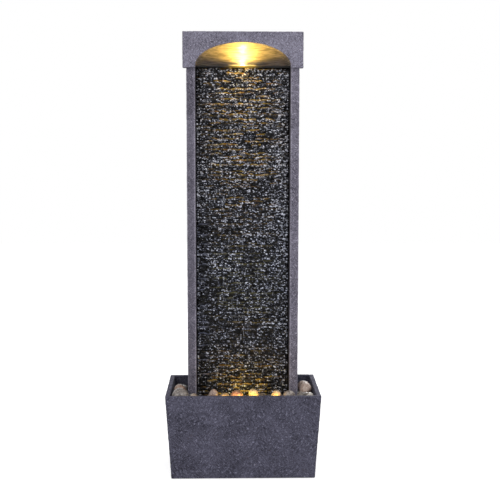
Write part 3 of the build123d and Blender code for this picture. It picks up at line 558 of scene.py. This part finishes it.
def courseLevel(tree, course, rise):  # height in metres of a point that far up its course
    first, plain, _, last = courseHeights
    turn = calc(tree, "FLOORED_MODULO", course, float(len(courseHeights)))
    isFirst, isLast = calc(tree, "LESS_THAN", turn, 0.5), calc(tree, "GREATER_THAN", turn, 2.5)
    tall = plus(tree, timesPlus(tree, isFirst, first - plain, plain), times(tree, isLast, last - plain))
    low = timesPlus(tree, minus(tree, 1.0, isFirst), first - plain, times(tree, turn, plain))
    under = timesPlus(tree, whole(tree, course, float(len(courseHeights))), sum(courseHeights), low)
    return timesPlus(tree, rise, tall, under)


def makePanelTree(settings):
    takes = {**settings, "Material": None}
    tree, takes, gives = newGroup("slateCourses", "GeometryNodeTree", takes, ("Geometry",))
    seed = takes["Seed"]
    rowCount = times(tree, takes["Courses"], takes["Rows"])
    grid = place(tree, "GeometryNodeMeshGrid")
    tree.links.new(plus(tree, takes["Columns"], 1.0), grid.inputs["Vertices X"])
    tree.links.new(rowCount, grid.inputs["Vertices Y"])
    index = place(tree, "GeometryNodeInputIndex").outputs[0]
    column = whole(tree, index, rowCount)
    row = minus(tree, index, times(tree, column, rowCount))
    course = whole(tree, row, takes["Rows"])
    step = minus(tree, row, times(tree, course, takes["Rows"]))
    turn = times(tree, calc(tree, "DIVIDE", step, minus(tree, takes["Rows"], 1.0)), math.pi)
    rise = minus(tree, 0.5, times(tree, calc(tree, "COSINE", turn), 0.5))  # 0 to 1 up a course
    across = minus(tree, times(tree, calc(tree, "DIVIDE", column, takes["Columns"]), 2.0), 1.0)
    x = times(tree, across, takes["Half Width"])
    waveSpot = point(tree, times(tree, x, takes["Waves"]), times(tree, plus(tree, course, rise), 0.5), seed)
    wave = times(tree, minus(tree, cloud(tree, waveSpot, 1.0, 1.0), 0.5), takes["Wobble"])
    z = plus(tree, timesPlus(tree, courseLevel(tree, course, rise), 0.001, takes["Bottom"]), wave)
    # stones of different lengths along each course
    stretch = timesPlus(tree, dice(tree, course, 0.5, seed), takes["Stretch"], takes["Least Stretch"])
    shift = times(tree, dice(tree, course, 1.5, seed), takes["Shift"])
    rippleSpot = point(tree, times(tree, x, takes["Ripples"]), times(tree, course, 3.1), seed)
    shift = timesPlus(tree, cloud(tree, rippleSpot, 1.0, 1.0), takes["Ripple"], shift)
    run = plus(tree, calc(tree, "DIVIDE", x, times(tree, takes["Stone Length"], stretch)), shift)
    stone = calc(tree, "FLOOR", run)
    share = minus(tree, minus(tree, run, stone), 0.5)  # -0.5 to 0.5 along a stone
    chance = [dice(tree, course, stone, plus(tree, seed, 1.0 + each)) for each in range(4)]
    # flat chips across each face, every one with its own slant
    flat = times(tree, z, takes["Facet Flat"])
    chipSpot = point(tree, x, flat, timesPlus(tree, course, 0.05, seed))
    chips = cells(tree, chipSpot, per(tree, takes["Facet Size"]))
    red, green, blue = parts(tree, chips["Color"])
    centreX, centreZ, _ = parts(tree, chips["Position"])
    slantX = times(tree, minus(tree, x, centreX), minus(tree, red, 0.5))
    slantZ = times(tree, minus(tree, flat, centreZ), minus(tree, green, 0.5))
    slant = times(tree, plus(tree, slantX, slantZ), times(tree, takes["Facet Tilt"], 2.0))
    chip = timesPlus(tree, minus(tree, blue, 0.5), takes["Facet Step"], slant)
    lean = times(tree, times(tree, share, minus(tree, chance[1], 0.5)), takes["Lean"])
    tip = times(tree, times(tree, minus(tree, rise, 0.5), minus(tree, chance[2], 0.5)), takes["Tip"])
    ledge = spread(tree, rise, 0.55, 1.0, 0.0, 1.0)
    bevel = times(tree, ledge, timesPlus(tree, chance[3], takes["Bevel"], takes["Least Bevel"]))
    underside = spread(tree, rise, 0.0, 0.3, 1.0, 0.0)
    ends = spread(tree, absolute(tree, share), 0.42, 0.5, 0.0, 1.0)
    depth = timesPlus(tree, minus(tree, takes["Deep"], takes["Shallow"]), chance[0], takes["Shallow"])
    for raised in (chip, lean, tip):
        depth = plus(tree, depth, raised)
    for cut in (bevel, times(tree, underside, takes["Under Cut"]), times(tree, ends, takes["End Cut"])):
        depth = minus(tree, depth, cut)
    depth = calc(tree, "MINIMUM", calc(tree, "MAXIMUM", depth, takes["Least Depth"]), takes["Most Depth"])
    # the border sinks into the plate
    border = calc(tree, "LESS_THAN", column, 0.5)
    for outside in (
        calc(tree, "GREATER_THAN", column, minus(tree, takes["Columns"], 0.5)),
        calc(tree, "LESS_THAN", row, 0.5),
        calc(tree, "GREATER_THAN", row, minus(tree, rowCount, 1.5)),
    ):
        border = calc(tree, "MAXIMUM", border, outside)
    depth = minus(tree, times(tree, depth, minus(tree, 1.0, border)), times(tree, border, takes["Sink"]))
    mesh = grid.outputs["Mesh"]
    joint = calc(tree, "MAXIMUM", underside, ends)
    for name, value in (("facet", blue), ("stone", chance[0]), ("ledge", ledge), ("joint", joint)):
        store = place(tree, "GeometryNodeStoreNamedAttribute", data_type="FLOAT", domain="POINT")
        store.inputs["Name"].default_value = name
        tree.links.new(mesh, store.inputs["Geometry"])
        tree.links.new(value, store.inputs["Value"])
        mesh = store.outputs["Geometry"]
    move = place(tree, "GeometryNodeSetPosition")
    tree.links.new(mesh, move.inputs["Geometry"])
    tree.links.new(point(tree, x, minus(tree, takes["Front"], depth), z), move.inputs["Position"])
    smooth = place(tree, "GeometryNodeSetShadeSmooth")
    tree.links.new(move.outputs[0], smooth.inputs["Geometry"])
    endTree(tree, smooth.outputs[0], takes, gives)
    return tree


def addPlate(piece, settings, material):  # closes the courses at the back and adds their plate
    low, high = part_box("water_panel")
    low = Vector((low.x, settings["Front"], low.z))
    work = bmesh.new()
    work.from_mesh(piece.data)
    bmesh.ops.holes_fill(work, edges=[edge for edge in work.edges if edge.is_boundary], sides=0)
    plate = bmesh.ops.create_cube(work, size=1.0)["verts"]
    for vert in plate:
        vert.co = vert.co * (high - low) + (low + high) / 2
    edges = list({edge for vert in plate for edge in vert.link_edges})
    bmesh.ops.bevel(work, geom=edges, offset=plateEdge, segments=2, affect="EDGES", profile=0.5)
    bmesh.ops.recalc_face_normals(work, faces=work.faces[:])
    for face in work.faces:
        face.material_index = 0
    piece.data.materials.clear()
    piece.data.materials.append(material)
    work.to_mesh(piece.data)
    work.free()


slateLook = {
    # the pale and fleck tones are pale flecks in the stone and also painted glints of the wet chips
    "black": rgb(10, 10, 12), "dark": rgb(27, 27, 30), "mid": rgb(60, 63, 74), "pale": rgb(114, 119, 143),
    "fleck": rgb(214, 219, 238), "paleAmber": rgb(226, 188, 88), "deepAmber": rgb(176, 128, 48),
    "olive": rgb(122, 116, 74),
    "ramp": {"black": 0.12, "dark": 0.42, "mid": 0.58, "pale": 0.71, "fleck": 0.82},
    "chip": 0.0045, "flat": 1.8, "ragged": 0.006, "chipRim": (0.25, 0.6, -0.15, 0.2),
    # how fine each pattern is, with 0 for an axis it doesn't change along
    "fine": 420.0, "patch": 26.0, "jag": 240.0, "mixed": 90.0,
    "strata": (26.0, 0, 380.0), "drip": (210.0, 0, 24.0), "streak": (46.0, 0, 130.0),
    "fineLift": 0.5, "slopeLift": 1.6,
    "chipShare": 0.6, "facetShare": 0.4, "fineShare": 0.35, "patchShare": 0.34, "strataShare": 0.3,
    # where the tone goes up or down: from, to, and the values there
    "footDark": (0.2, 0.9, 0.06, 0.002),
    # painted shade along the right edge, beside the stile
    "rightEdgeShade": (0.1165, 0.1205, 0.0, 0.22),
    # painted light along the left edge, turned to painted shade at its top
    "leftEdgeLight": (-0.1195, -0.110, 0.20, 0.0), "leftEdgeTop": (0.92, 0.99, 1.0, -0.2),
    # painted glints: paler chips at the upper right
    "rightGlints": (0.065, 0.100, 0.0, 0.085), "rightGlintsFoot": (0.36, 0.56, 0.3, 1.0),
    "leftPlain": (-0.100, -0.080, 1.0, 0.0), "leftPlainTop": (0.60, 0.76, 1.0, 0.0), "leftDark": 0.08,
    # where painted lamp light falls on the ledges
    "upper": (0.56, 0.9, 0.03, 0.72), "lower": (0.2, 0.36, 0.88, 0.0), "inner": (0.04, 0.118, 1.0, 0.08),
    "dimLampFoot": (0.34, 0.44, 0.0, 1.0), "dimLampTop": (0.56, 0.68, 1.0, 0.0), "dimLampShare": 0.55,
    # lampTint paints lamp glow; the last entry blackens the stone ends and paints shade under each course
    "lampTint": (1.0, 0.86, 0.62, 1.0), "lampShare": 0.4, "hollow": 0.88,
}


def ramp(tree, value, stops):
    node = place(tree, "ShaderNodeValToRGB")
    while len(node.color_ramp.elements) < len(stops):
        node.color_ramp.elements.new(0.5)
    for element, (position, colour) in zip(node.color_ramp.elements, stops):
        element.position = position
        element.color = colour
    tree.links.new(value, node.inputs["Fac"])
    return node.outputs["Color"]


def readValue(tree, name):
    return place(tree, "ShaderNodeAttribute", attribute_name=name).outputs["Fac"]


def makeSlate(look):
    material, tree, shader = newMaterial(
        "wetSlate", **{"Specular IOR Level": 0.1, "Coat Roughness": 0.1, "Coat IOR": 1.6}
    )
    spot = objectSpot(tree)
    x, y, z = parts(tree, spot)
    fine = cloud(tree, spot, look["fine"], 3.0, 0.6)
    patch = cloud(tree, spot, look["patch"], 2.0)
    strata = cloud(tree, stretched(tree, (x, y, z), look["strata"]), 1.0, 2.0)
    ledge, stone = readValue(tree, "ledge"), readValue(tree, "stone")
    # ragged chips, wider than tall, each with its own tone and slant
    ragged = times(tree, minus(tree, cloud(tree, spot, look["jag"], 2.0), 0.5), look["ragged"])
    chipX, chipZ = plus(tree, x, ragged), times(tree, minus(tree, z, ragged), look["flat"])
    chips = cells(tree, point(tree, chipX, times(tree, y, 0.5), chipZ), 1.0 / look["chip"])
    toneCell, slantX, slantZ = parts(tree, chips["Color"])
    middleX, _, middleZ = parts(tree, chips["Position"])
    tiltX = times(tree, minus(tree, chipX, middleX), minus(tree, slantX, 0.5))
    tiltZ = times(tree, minus(tree, chipZ, middleZ), minus(tree, slantZ, 0.5))
    slope = calc(tree, "DIVIDE", plus(tree, tiltX, tiltZ), look["chip"])
    facets = times(tree, readValue(tree, "facet"), look["facetShare"])
    tone = timesPlus(tree, toneCell, look["chipShare"], facets)
    tone = minus(tree, tone, spread(tree, chips["Distance"], *look["chipRim"]))
    for value, name in ((fine, "fineShare"), (patch, "patchShare"), (strata, "strataShare")):
        tone = timesPlus(tree, minus(tree, value, 0.5), look[name], tone)
    tone = minus(tree, tone, spread(tree, z, *look["footDark"]))
    # painted shade along the right edge
    tone = minus(tree, tone, spread(tree, x, *look["rightEdgeShade"]))
    # painted light along the left edge with painted shade at its top, and painted glints at the upper right
    for side, level in (("leftEdgeLight", "leftEdgeTop"), ("rightGlints", "rightGlintsFoot")):
        tone = plus(tree, tone, times(tree, spread(tree, x, *look[side]), spread(tree, z, *look[level])))
    left = times(tree, spread(tree, x, *look["leftPlain"]), spread(tree, z, *look["leftPlainTop"]))
    tone = minus(tree, tone, times(tree, left, look["leftDark"]))
    # the ramp's pale and fleck tones are pale flecks in the stone and painted glints on the wet chips
    body = ramp(tree, tone, [(position, look[name]) for name, position in look["ramp"].items()])
    # painted highlights: pale top edges on the long smooth stones at the left
    rim = times(tree, times(tree, left, ledge), spread(tree, stone, 0.55, 0.62, 0.0, 0.7))
    body = blendColours(tree, rim, body, look["pale"])
    # painted glints: thin trickles of water drawn in the fleck colour
    drip = cloud(tree, stretched(tree, (x, y, z), look["drip"]), 1.0, 2.0)
    trickleGlint = times(tree, spread(tree, drip, 0.68, 0.74, 0.0, 0.6), patch)
    body = blendColours(tree, trickleGlint, body, look["fleck"])
    # painted lamp light: amber lines on the ledges where the lamps reach, dim olive ones between
    streak = cloud(tree, stretched(tree, (x, y, z), look["streak"]), 1.0, 3.0, 0.6)
    lamps = calc(tree, "MAXIMUM", spread(tree, z, *look["upper"]), spread(tree, z, *look["lower"]))
    dimLampBand = times(tree, spread(tree, z, *look["dimLampFoot"]), spread(tree, z, *look["dimLampTop"]))
    reach = calc(tree, "MAXIMUM", lamps, times(tree, dimLampBand, look["dimLampShare"]))
    reach = times(tree, spread(tree, absolute(tree, x), *look["inner"]), reach)
    edge = times(tree, ledge, spread(tree, stone, 0.2, 0.5, 0.0, 1.0))
    lampLines = times(tree, times(tree, edge, spread(tree, streak, 0.35, 0.56, 0.0, 1.0)), reach)
    # painted lamp glow: a warmer body colour high up and low down on the panel
    tinted = blendColours(tree, 1.0, body, look["lampTint"], "MULTIPLY")
    body = blendColours(tree, times(tree, lamps, look["lampShare"]), body, tinted)
    mixed = spread(tree, cloud(tree, spot, look["mixed"], 2.0), 0.4, 0.6, 0.0, 1.0)
    warm = blendColours(tree, mixed, look["deepAmber"], look["paleAmber"])
    lampLit = blendColours(tree, lampLines, body, blendColours(tree, dimLampBand, warm, look["olive"]))
    # black in the gaps at the stones' ends, and painted shade along the underside of each course
    hollow = times(tree, readValue(tree, "joint"), look["hollow"])
    tree.links.new(blendColours(tree, hollow, lampLit, look["black"]), shader.inputs["Base Color"])
    sheen = useGroup(tree, wetSheen, **{"Patch Size": 0.012, "Dry Roughness": 0.42, "Wet Roughness": 0.2})
    film = times(tree, sheen["Wet"], spread(tree, tone, 0.45, 0.7, 0.0, 1.0))
    tree.links.new(film, shader.inputs["Coat Weight"])
    tree.links.new(sheen["Roughness"], shader.inputs["Roughness"])
    grit = plus(tree, times(tree, fine, look["fineLift"]), times(tree, slope, look["slopeLift"]))
    bumpFrom(tree, shader, grit, 0.7, 0.0016)
    return material


wetSlate = makeSlate(slateLook)
panelTree = makePanelTree(slatePanel)
panel = runTree("slatePanel", newObject("panelCarrier"), panelTree, {**slatePanel, "Material": wetSlate})
addPlate(panel, slatePanel, wetSlate)
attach(panel, "fountain")
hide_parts("water_panel")
print("stage:", panel.name, len(panel.data.polygons), "faces")


# pebbles: the CAD stones with dents and a tint each, sorted by the row they lie in
pebbleBed = {
    "dent": 0.0012,
    "dentSize": 0.017,
    "seed": 11.0,
    "frontSplit": -0.067,
    "rearSplit": -0.0285,
    "front": (
        (128, 120, 118), (170, 146, 120), (80, 75, 72), (158, 120, 98), (184, 152, 104), (176, 112, 60),
        (214, 186, 130), (84, 78, 72), (184, 158, 120), (122, 106, 96), (92, 82, 76), (196, 190, 182),
    ),
    "rear": (
        (110, 100, 96), (84, 78, 76), (96, 84, 74), (120, 100, 80),
        (112, 98, 84), (78, 74, 74), (104, 92, 84), (88, 80, 76),
    ),
    "left": ((164, 122, 96), (60, 57, 58), (52, 50, 52)),
    "right": ((204, 176, 160), (196, 168, 150), (72, 66, 64)),
}
pebbleLook = {
    "vein": 130.0, "fleck": 700.0, "grit": 260.0,  # how fine each pattern is
    "dark": (0.42, 0.39, 0.37, 1.0), "pale": (0.62, 0.56, 0.5, 1.0), "paleShare": 0.35,
    "fleckTone": rgb(58, 52, 50), "fleckShare": 0.5, "veinLift": 0.6, "wetShare": 0.6,
}


def takeStone(unseen):  # one stone's points, out of all that are left
    grown, reach = set(), [unseen.pop()]
    while reach:
        vert = reach.pop()
        grown.add(vert)
        for edge in vert.link_edges:
            other = edge.other_vert(vert)
            if other in unseen:
                unseen.discard(other)
                reach.append(other)
    return sum((vert.co for vert in grown), Vector()) / len(grown), grown


def tintPebbles(settings):
    work = bmesh.new()
    work.from_mesh(nodes["pebbles"].data)
    bmesh.ops.remove_doubles(work, verts=work.verts[:], dist=mergeDistance)
    tint = work.verts.layers.float_color.new("tint")
    relief = work.verts.layers.float.new("relief")
    rows = {"front": [], "rear": [], "left": [], "right": []}
    unseen = set(work.verts)
    while unseen:
        middle, grown = takeStone(unseen)
        if middle.y < settings["frontSplit"]:
            rows["front"].append((middle.x, grown))
        elif middle.y < settings["rearSplit"]:
            rows["rear"].append((middle.x, grown))
        else:
            rows["left" if middle.x < 0 else "right"].append((middle.y, grown))
    for name, row in rows.items():
        row.sort(key=lambda entry: entry[0])
        for order, (_, grown) in enumerate(row):
            colour = rgb(*settings[name][order % len(settings[name])])
            for vert in grown:
                vert[tint] = colour
                vert[relief] = 1.0
    for face in work.faces:
        face.smooth = True
    mesh = bpy.data.meshes.new("pebbleStones")
    work.to_mesh(mesh)
    work.free()
    print("stage: pebbles sorted,", {name: len(row) for name, row in rows.items()})
    return mesh


def makePebbleStone(look):
    material, tree, shader = newMaterial("riverPebble", **{"Coat Roughness": 0.2})
    spot = objectSpot(tree)
    colour = place(tree, "ShaderNodeAttribute", attribute_name="tint").outputs["Color"]
    veins = spread(tree, cloud(tree, spot, look["vein"], 4.0, 0.65, 1.2), 0.35, 0.68, 0.0, 1.0)
    dark = blendColours(tree, 1.0, colour, look["dark"], "MULTIPLY")
    pale = blendColours(tree, look["paleShare"], colour, look["pale"])
    body = blendColours(tree, veins, dark, pale)
    flecks = spread(tree, cells(tree, spot, look["fleck"])["Distance"], 0.12, 0.28, 1.0, 0.0)
    body = blendColours(tree, times(tree, flecks, look["fleckShare"]), body, look["fleckTone"])
    tree.links.new(body, shader.inputs["Base Color"])
    sheen = useGroup(tree, wetSheen, **{"Patch Size": 0.03, "Dry Roughness": 0.62, "Wet Roughness": 0.3})
    tree.links.new(times(tree, sheen["Wet"], look["wetShare"]), shader.inputs["Coat Weight"])
    tree.links.new(sheen["Roughness"], shader.inputs["Roughness"])
    grit = plus(tree, cloud(tree, spot, look["grit"], 4.0, 0.6), times(tree, veins, look["veinLift"]))
    bumpFrom(tree, shader, grit, 0.5, 0.0012)
    return material


pebbles = runTree(
    "pebbleStones",
    newObject("pebbleCarrier", tintPebbles(pebbleBed)),
    reliefTree,
    {
        "Depth": pebbleBed["dent"],
        "Chip Size": pebbleBed["dentSize"],
        "Seed": pebbleBed["seed"],
        "Material": makePebbleStone(pebbleLook),
    },
)
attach(pebbles, "pebble_tray")
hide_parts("pebbles")
print("stage:", pebbles.name, len(pebbles.data.polygons), "faces")


# finishes of the carried-over CAD nodes
mouldings = {
    "black_plastic": {"dark": rgb(18, 18, 20), "light": rgb(36, 36, 39), "grain": 0.0006},
    "trough_plastic": {
        "dark": rgb(14, 13, 14), "light": rgb(30, 28, 29), "grain": 0.0008, "gloss": 0.2,
        # painted glow on the lip's front, from the lamp behind it
        "litLip": {
            "reach": 0.060, "bottom": 1.0535, "front": -0.002, "glow": (1.0, 0.62, 0.08, 1.0), "power": 0.6,
        },
    },
    "rubber_black": {"dark": rgb(14, 14, 15), "light": rgb(30, 30, 31), "grain": 0.0004},
    "lamp_board": {"dark": rgb(196, 198, 196), "light": rgb(226, 228, 225), "grain": 0.0005},
    "rotor_magnet": {"dark": rgb(40, 42, 46), "light": rgb(74, 76, 80), "grain": 0.0005},
    "ceramic_white": {"dark": rgb(206, 202, 192), "light": rgb(232, 229, 221), "grain": 0.0007},
}
clearParts = {
    "clear_hose": {
        "Base Color": rgb(214, 222, 220), "Roughness": 0.18, "IOR": 1.45, "Transmission Weight": 0.85,
    },
    "lens_clear": {
        "Base Color": rgb(250, 240, 216), "Roughness": 0.22, "IOR": 1.49, "Transmission Weight": 0.7,
        "Emission Color": (1.0, 0.76, 0.34, 1.0), "Emission Strength": 2.0,
    },
}
steelBrush = (400.0, 400.0, 4000.0)


def makeMoulding(name, settings):
    gloss = settings.get("gloss", 0.5)
    material, tree, shader = newMaterial(name + "Finish", **{"Specular IOR Level": gloss})
    finish = useGroup(tree, mouldedGrain, **{"Grain Size": settings["grain"]})
    colour = blendColours(tree, finish["Shade"], settings["dark"], settings["light"])
    tree.links.new(colour, shader.inputs["Base Color"])
    tree.links.new(finish["Roughness"], shader.inputs["Roughness"])
    if "litLip" in settings:  # painted light: the lip's front glows gold where the lamp behind it would light it
        lit = settings["litLip"]
        x, y, z = parts(tree, objectSpot(tree))
        near = calc(tree, "POWER", spread(tree, absolute(tree, x), 0.0, lit["reach"], 1.0, 0.0), 1.6)
        above, before = calc(tree, "GREATER_THAN", z, lit["bottom"]), calc(tree, "LESS_THAN", y, lit["front"])
        lip = times(tree, near, times(tree, above, before))
        glow = blendColours(tree, lip, (0.0, 0.0, 0.0, 1.0), lit["glow"])
        tree.links.new(glow, shader.inputs["Emission Color"])
        shader.inputs["Emission Strength"].default_value = lit["power"]
    bumpFrom(tree, shader, finish["Height"], 0.35, 0.0003)
    return material


def makeClear(name, settings):
    material, tree, shader = newMaterial(name + "Finish", **settings)
    finish = useGroup(tree, mouldedGrain, **{"Wear Size": 0.012})
    bumpFrom(tree, shader, finish["Height"], 0.15, 0.0003)
    return material


def makeSteel():
    material, tree, shader = newMaterial("steelFinish", Metallic=1.0)
    brushed = cloud(tree, stretched(tree, parts(tree, objectSpot(tree)), steelBrush), 1.0, 3.0)
    colour = blendColours(tree, brushed, rgb(150, 152, 156), rgb(205, 207, 210))
    tree.links.new(colour, shader.inputs["Base Color"])
    tree.links.new(spread(tree, brushed, 0.3, 0.7, 0.2, 0.42), shader.inputs["Roughness"])
    bumpFrom(tree, shader, brushed, 0.2, 0.0002)
    return material


def makeChip():
    material, tree, shader = newMaterial("chipGlow", **{"Emission Strength": 12.0})
    phosphor = spread(tree, cloud(tree, objectSpot(tree), 900.0, 2.0), 0.35, 0.65, 0.0, 1.0)
    colour = blendColours(tree, phosphor, rgb(232, 196, 96), rgb(250, 226, 150))
    tree.links.new(colour, shader.inputs["Base Color"])
    glow = blendColours(tree, phosphor, (1.0, 0.66, 0.22, 1.0), (1.0, 0.78, 0.36, 1.0))
    tree.links.new(glow, shader.inputs["Emission Color"])
    return material


finishes = {name: makeMoulding(name, settings) for name, settings in mouldings.items()}
finishes.update({name: makeClear(name, settings) for name, settings in clearParts.items()})
finishes["stainless"] = makeSteel()
finishes["light_chip"] = makeChip()
finishes["tower_stone"] = stones["cover"]  # the back cover, cast darker than the tower
for node in nodes.values():
    for slot in node.material_slots:
        if slot.material and slot.material.name in finishes:
            slot.material = finishes[slot.material.name]
print("stage: finishes on the CAD nodes")


# the stage
stageSet = {"floor": 6.0, "albedo": 0.8, "lift": 0.62, "ambient": 0.55}


def seenRays(tree):  # 1 for what the camera sees, also in gloss and through glass
    path = place(tree, "ShaderNodeLightPath").outputs
    through = calc(tree, "MAXIMUM", path["Is Glossy Ray"], path["Is Transmission Ray"])
    return calc(tree, "MAXIMUM", path["Is Camera Ray"], through)


def makeFloor(settings):
    half = settings["floor"]
    mesh = bpy.data.meshes.new("stageFloor")
    corners = [(-half, -half, 0), (half, -half, 0), (half, half, 0), (-half, half, 0)]
    mesh.from_pydata(corners, [], [(0, 1, 2, 3)])
    floor = newObject("stageFloor", mesh)
    material = bpy.data.materials.new("floorWhite")
    material.use_nodes = True
    tree = material.node_tree
    tree.nodes.clear()
    paint = place(tree, "ShaderNodeBsdfDiffuse")
    paint.inputs["Color"].default_value = (settings["albedo"],) * 3 + (1.0,)
    glow = place(tree, "ShaderNodeEmission")
    tree.links.new(times(tree, seenRays(tree), settings["lift"]), glow.inputs["Strength"])
    both = place(tree, "ShaderNodeAddShader")
    tree.links.new(paint.outputs[0], both.inputs[0])
    tree.links.new(glow.outputs[0], both.inputs[1])
    tree.links.new(both.outputs[0], place(tree, "ShaderNodeOutputMaterial").inputs["Surface"])
    mesh.materials.append(material)


def makeWorld(settings):
    world = bpy.data.worlds.new("studioWorld")
    scene.world = world
    world.use_nodes = True
    tree = world.node_tree
    back = tree.nodes["Background"]
    back.inputs["Color"].default_value = (1.0, 1.0, 1.0, 1.0)
    strength = spread(tree, seenRays(tree), 0.0, 1.0, settings["ambient"], 1.0)
    tree.links.new(strength, back.inputs["Strength"])
    scene.view_settings.view_transform = "Standard"


studioLights = {
    "keyLeft": {"place": (-1.5, -2.2, 1.7), "aim": (0, 0, 0.6), "size": (0.35, 0.9), "power": 16},
    "keyRight": {"place": (1.7, -2.0, 1.5), "aim": (0, 0, 0.6), "size": (0.35, 0.9), "power": 12},
    "topFront": {"place": (0.0, -1.4, 2.4), "aim": (0, 0, 0.9), "size": (0.8, 0.35), "power": 9},
    "fillRear": {"place": (0.9, 2.4, 1.6), "aim": (0, 0, 0.6), "size": (1.2, 1.2), "power": 22},
}
warmLights = {  # light of the two lamps: a cone makes a spot, a size an area, neither a bulb
    "archGlow": {
        "place": (0, -0.028, 1.108), "aim": (0, -0.020, 0.5), "cone": 104, "soft": 0.9, "radius": 0.006,
        "power": 0.55, "colour": (1.0, 0.70, 0.15),
    },
    "upperGlow": {
        "place": (0, 0.012, 1.0695), "aim": (0, 0.012, 1.2), "cone": 176, "soft": 0.3, "radius": 0.003,
        "power": 1.28, "colour": (1.0, 0.62, 0.10),
    },
    "upperBeam": {
        "place": (0, 0.036, 1.0695), "aim": (0, 0.034, 1.2), "cone": 150, "soft": 0.8, "radius": 0.003,
        "power": 0.5, "colour": (1.0, 0.70, 0.14),
    },
    "upperCore": {
        "place": (0, 0.036, 1.066), "aim": (0, 0.018, 1.112), "cone": 34, "soft": 1.0, "radius": 0.003,
        "power": 2.2, "colour": (1.0, 0.94, 0.90),
    },
    "upperStreak": {
        "place": (0, 0.034, 1.0695), "aim": (0, 0.024, 1.106), "cone": 54, "soft": 1.0, "radius": 0.002,
        "power": 0.34, "colour": (1.0, 0.95, 0.95),
    },
    "hotSpot": {"place": (0, 0.0425, 1.0660), "radius": 0.002, "power": 0.065, "colour": (1.0, 0.80, 0.32)},
    "lineGlow": {
        "place": (0, 0.0435, 1.0642), "aim": (0, 0.049, 1.0640), "size": (0.07, 0.0015),
        "power": 0.025, "colour": (1.0, 0.66, 0.10),
    },
    "lipGlow": {"place": (0, -0.030, 1.0505), "radius": 0.004, "power": 0.065, "colour": (1.0, 0.66, 0.10)},
    "lowerGlow": {
        "place": (0, -0.050, 0.212), "radius": 0.012,
        "power": 0.075, "colour": (1.0, 0.74, 0.14), "rides": "pebble_tray",
    },
    "pebbleGlow": {
        "place": (0.022, -0.1068, 0.2195), "aim": (0.022, -0.088, 0.2275), "size": (0.15, 0.003),
        "power": 0.045, "colour": (1.0, 0.62, 0.09), "rides": "pebble_tray",
    },
}


def makeLight(name, settings):
    kind = "AREA" if "size" in settings else "SPOT" if "cone" in settings else "POINT"
    data = bpy.data.lights.new(name, kind)
    if kind == "AREA":
        data.shape = "RECTANGLE"
        data.size, data.size_y = settings["size"]
    else:
        data.shadow_soft_size = settings["radius"]
    if kind == "SPOT":
        data.spot_size, data.spot_blend = math.radians(settings["cone"]), settings["soft"]
    data.energy = settings["power"]
    data.color = settings.get("colour", (1.0, 1.0, 1.0))
    lamp = newObject(name, data)
    lamp.location = settings["place"]
    if "aim" in settings:
        ahead = Vector(settings["aim"]) - Vector(settings["place"])
        lamp.rotation_mode = "QUATERNION"
        lamp.rotation_quaternion = ahead.to_track_quat("-Z", "Y")
    lamp.visible_camera = False
    if "rides" in settings:  # the light lifts out with its lamp
        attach(lamp, settings["rides"])


makeFloor(stageSet)
makeWorld(stageSet)
for name, settings in {**studioLights, **warmLights}.items():
    makeLight(name, settings)
print("stage: floor and lights")
